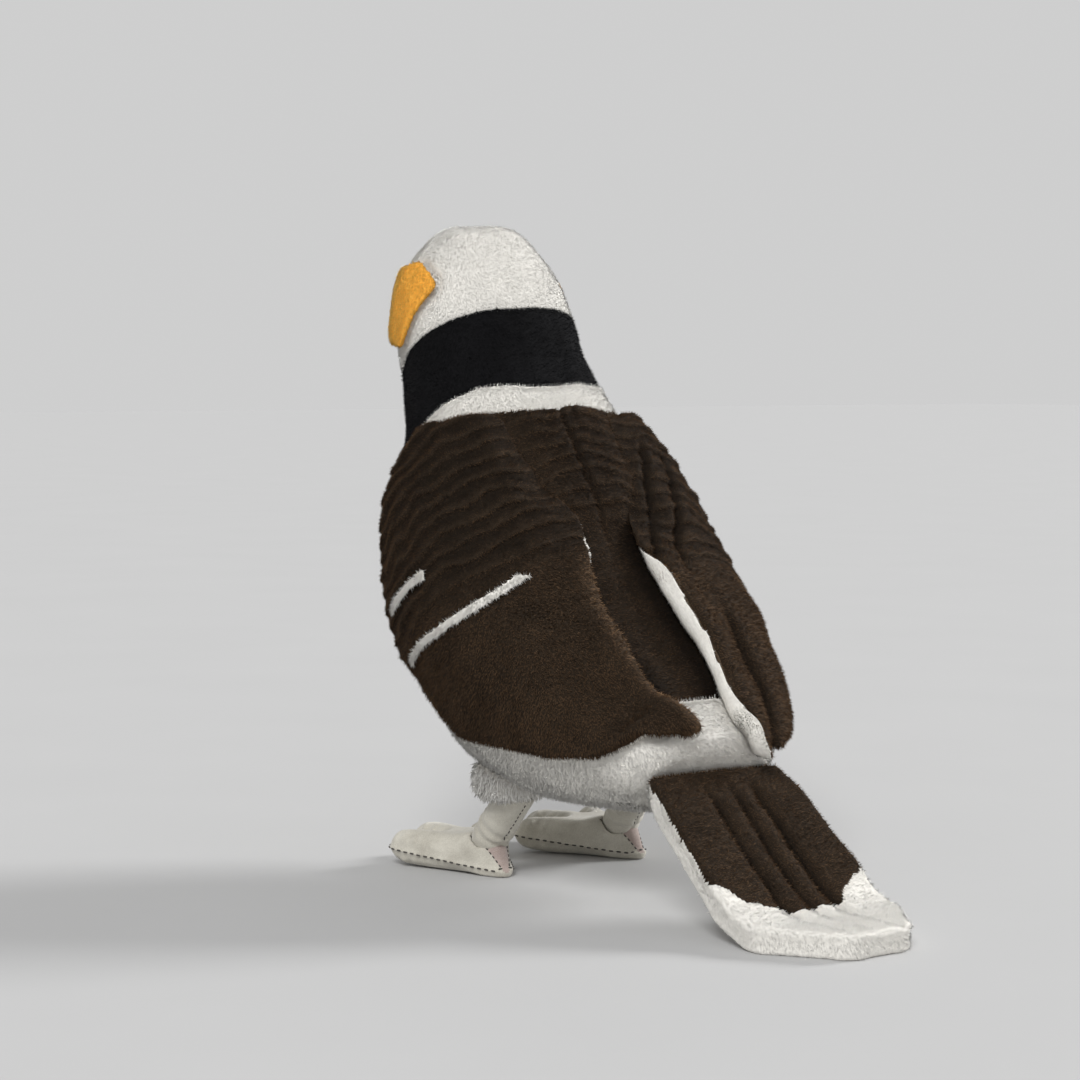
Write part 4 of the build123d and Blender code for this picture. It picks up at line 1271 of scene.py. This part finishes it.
# %% Inside
for node_name in ("head_stuffing", "body_stuffing"):
    filling = remeshed(f"{node_name}_fibre", [node_name], FIBRE, 3.0, 4)
    co, no = coordinates(filling), normals(filling)
    move_to(filling, lumpy(co - no * 2.5 * MM))
    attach(filling, "torso")
    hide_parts(node_name)
INSIDE = {
    "pellet_pouch": BAG_CLOTH,
    "hip_armature": WIRE,
    "left_eye_washer": WASHER_PLASTIC,
    "right_eye_washer": WASHER_PLASTIC,
    "left_leg_wire": WIRE,
    "right_leg_wire": WIRE,
}
for node_name, material in INSIDE.items():
    give(node_name, material)
print("inside:", len(INSIDE) + 2, "pieces")

# %% [markdown]
# ## Stage, light and camera
# A pale floor, a broad key light from above, behind the bird and to its left, and a low one from
# its right that rims its outline. A pale wall fills the shade. The camera stands behind the bird,
# to its left, a little above its back, with a long lens.

# %% Stage
FLOOR_HALF = 12.0
FLOOR_SPECKLE = 9.0              # scale of the floor's faint marks, about 110 mm across
floor_material, tree, place = new_material("Pale studio floor")
speckle = add(tree, "ShaderNodeTexNoise", Vector=place, Scale=FLOOR_SPECKLE, Detail=3.0)
stops = ((0.0, linear("#B9B9B9")), (1.0, linear("#BDBDBD")))
tone = add(tree, "ShaderNodeValToRGB", {"stops": stops}, Fac=speckle)
shader = add(tree, "ShaderNodeBsdfPrincipled", Base_Color=tone, Roughness=0.7)
add(tree, "ShaderNodeOutputMaterial", Surface=shader)
corners = [(x * FLOOR_HALF, y * FLOOR_HALF, 0) for x, y in ((-1, -1), (1, -1), (1, 1), (-1, 1))]
floor = mesh_object("floor", corners, [(0, 1, 2, 3)], floor_material, smooth=False)

BACKDROP, GLOW = 0.62, 0.48      # what the camera sees of the wall, and what lights the toy
world = bpy.data.worlds.new("Studio")
bpy.context.scene.world = world
world.use_nodes = True
path = add(world.node_tree, "ShaderNodeLightPath")
level = add(world.node_tree, "ShaderNodeMapRange", Value=path.outputs["Is Camera Ray"], i3=GLOW,
            i4=BACKDROP)
background = world.node_tree.nodes["Background"]
background.inputs["Color"].default_value = (1.0, 1.0, 1.0, 1.0)
world.node_tree.links.new(level.outputs[0], background.inputs["Strength"])


def sun(name, position, strength, softness):
    """A broad distant light, from the side that position lies on."""
    data = bpy.data.lights.new(name, "SUN")
    data.energy = strength
    data.angle = math.radians(softness)
    made = bpy.data.objects.new(name, data)
    bpy.context.collection.objects.link(made)
    made.rotation_euler = (-Vector(position)).to_track_quat("-Z", "Y").to_euler()


sun("key", (0.62, 0.55, 0.75), 1.95, 22)
sun("rim", (-0.83, 0.15, 0.40), 2.6, 18)

camera_data = bpy.data.cameras.new("camera")
camera = bpy.data.objects.new("camera", camera_data)
bpy.context.collection.objects.link(camera)
camera_data.sensor_width = 36.0
camera_data.lens = 83.33
camera_data.clip_start = 0.05
camera.location = (0.5788, 0.7916, 0.200)
look = Vector((-0.5652, -0.8223, -0.0658))
camera.rotation_euler = look.to_track_quat("-Z", "Y").to_euler()
bpy.context.scene.camera = camera
bpy.context.scene.view_settings.view_transform = "Standard"
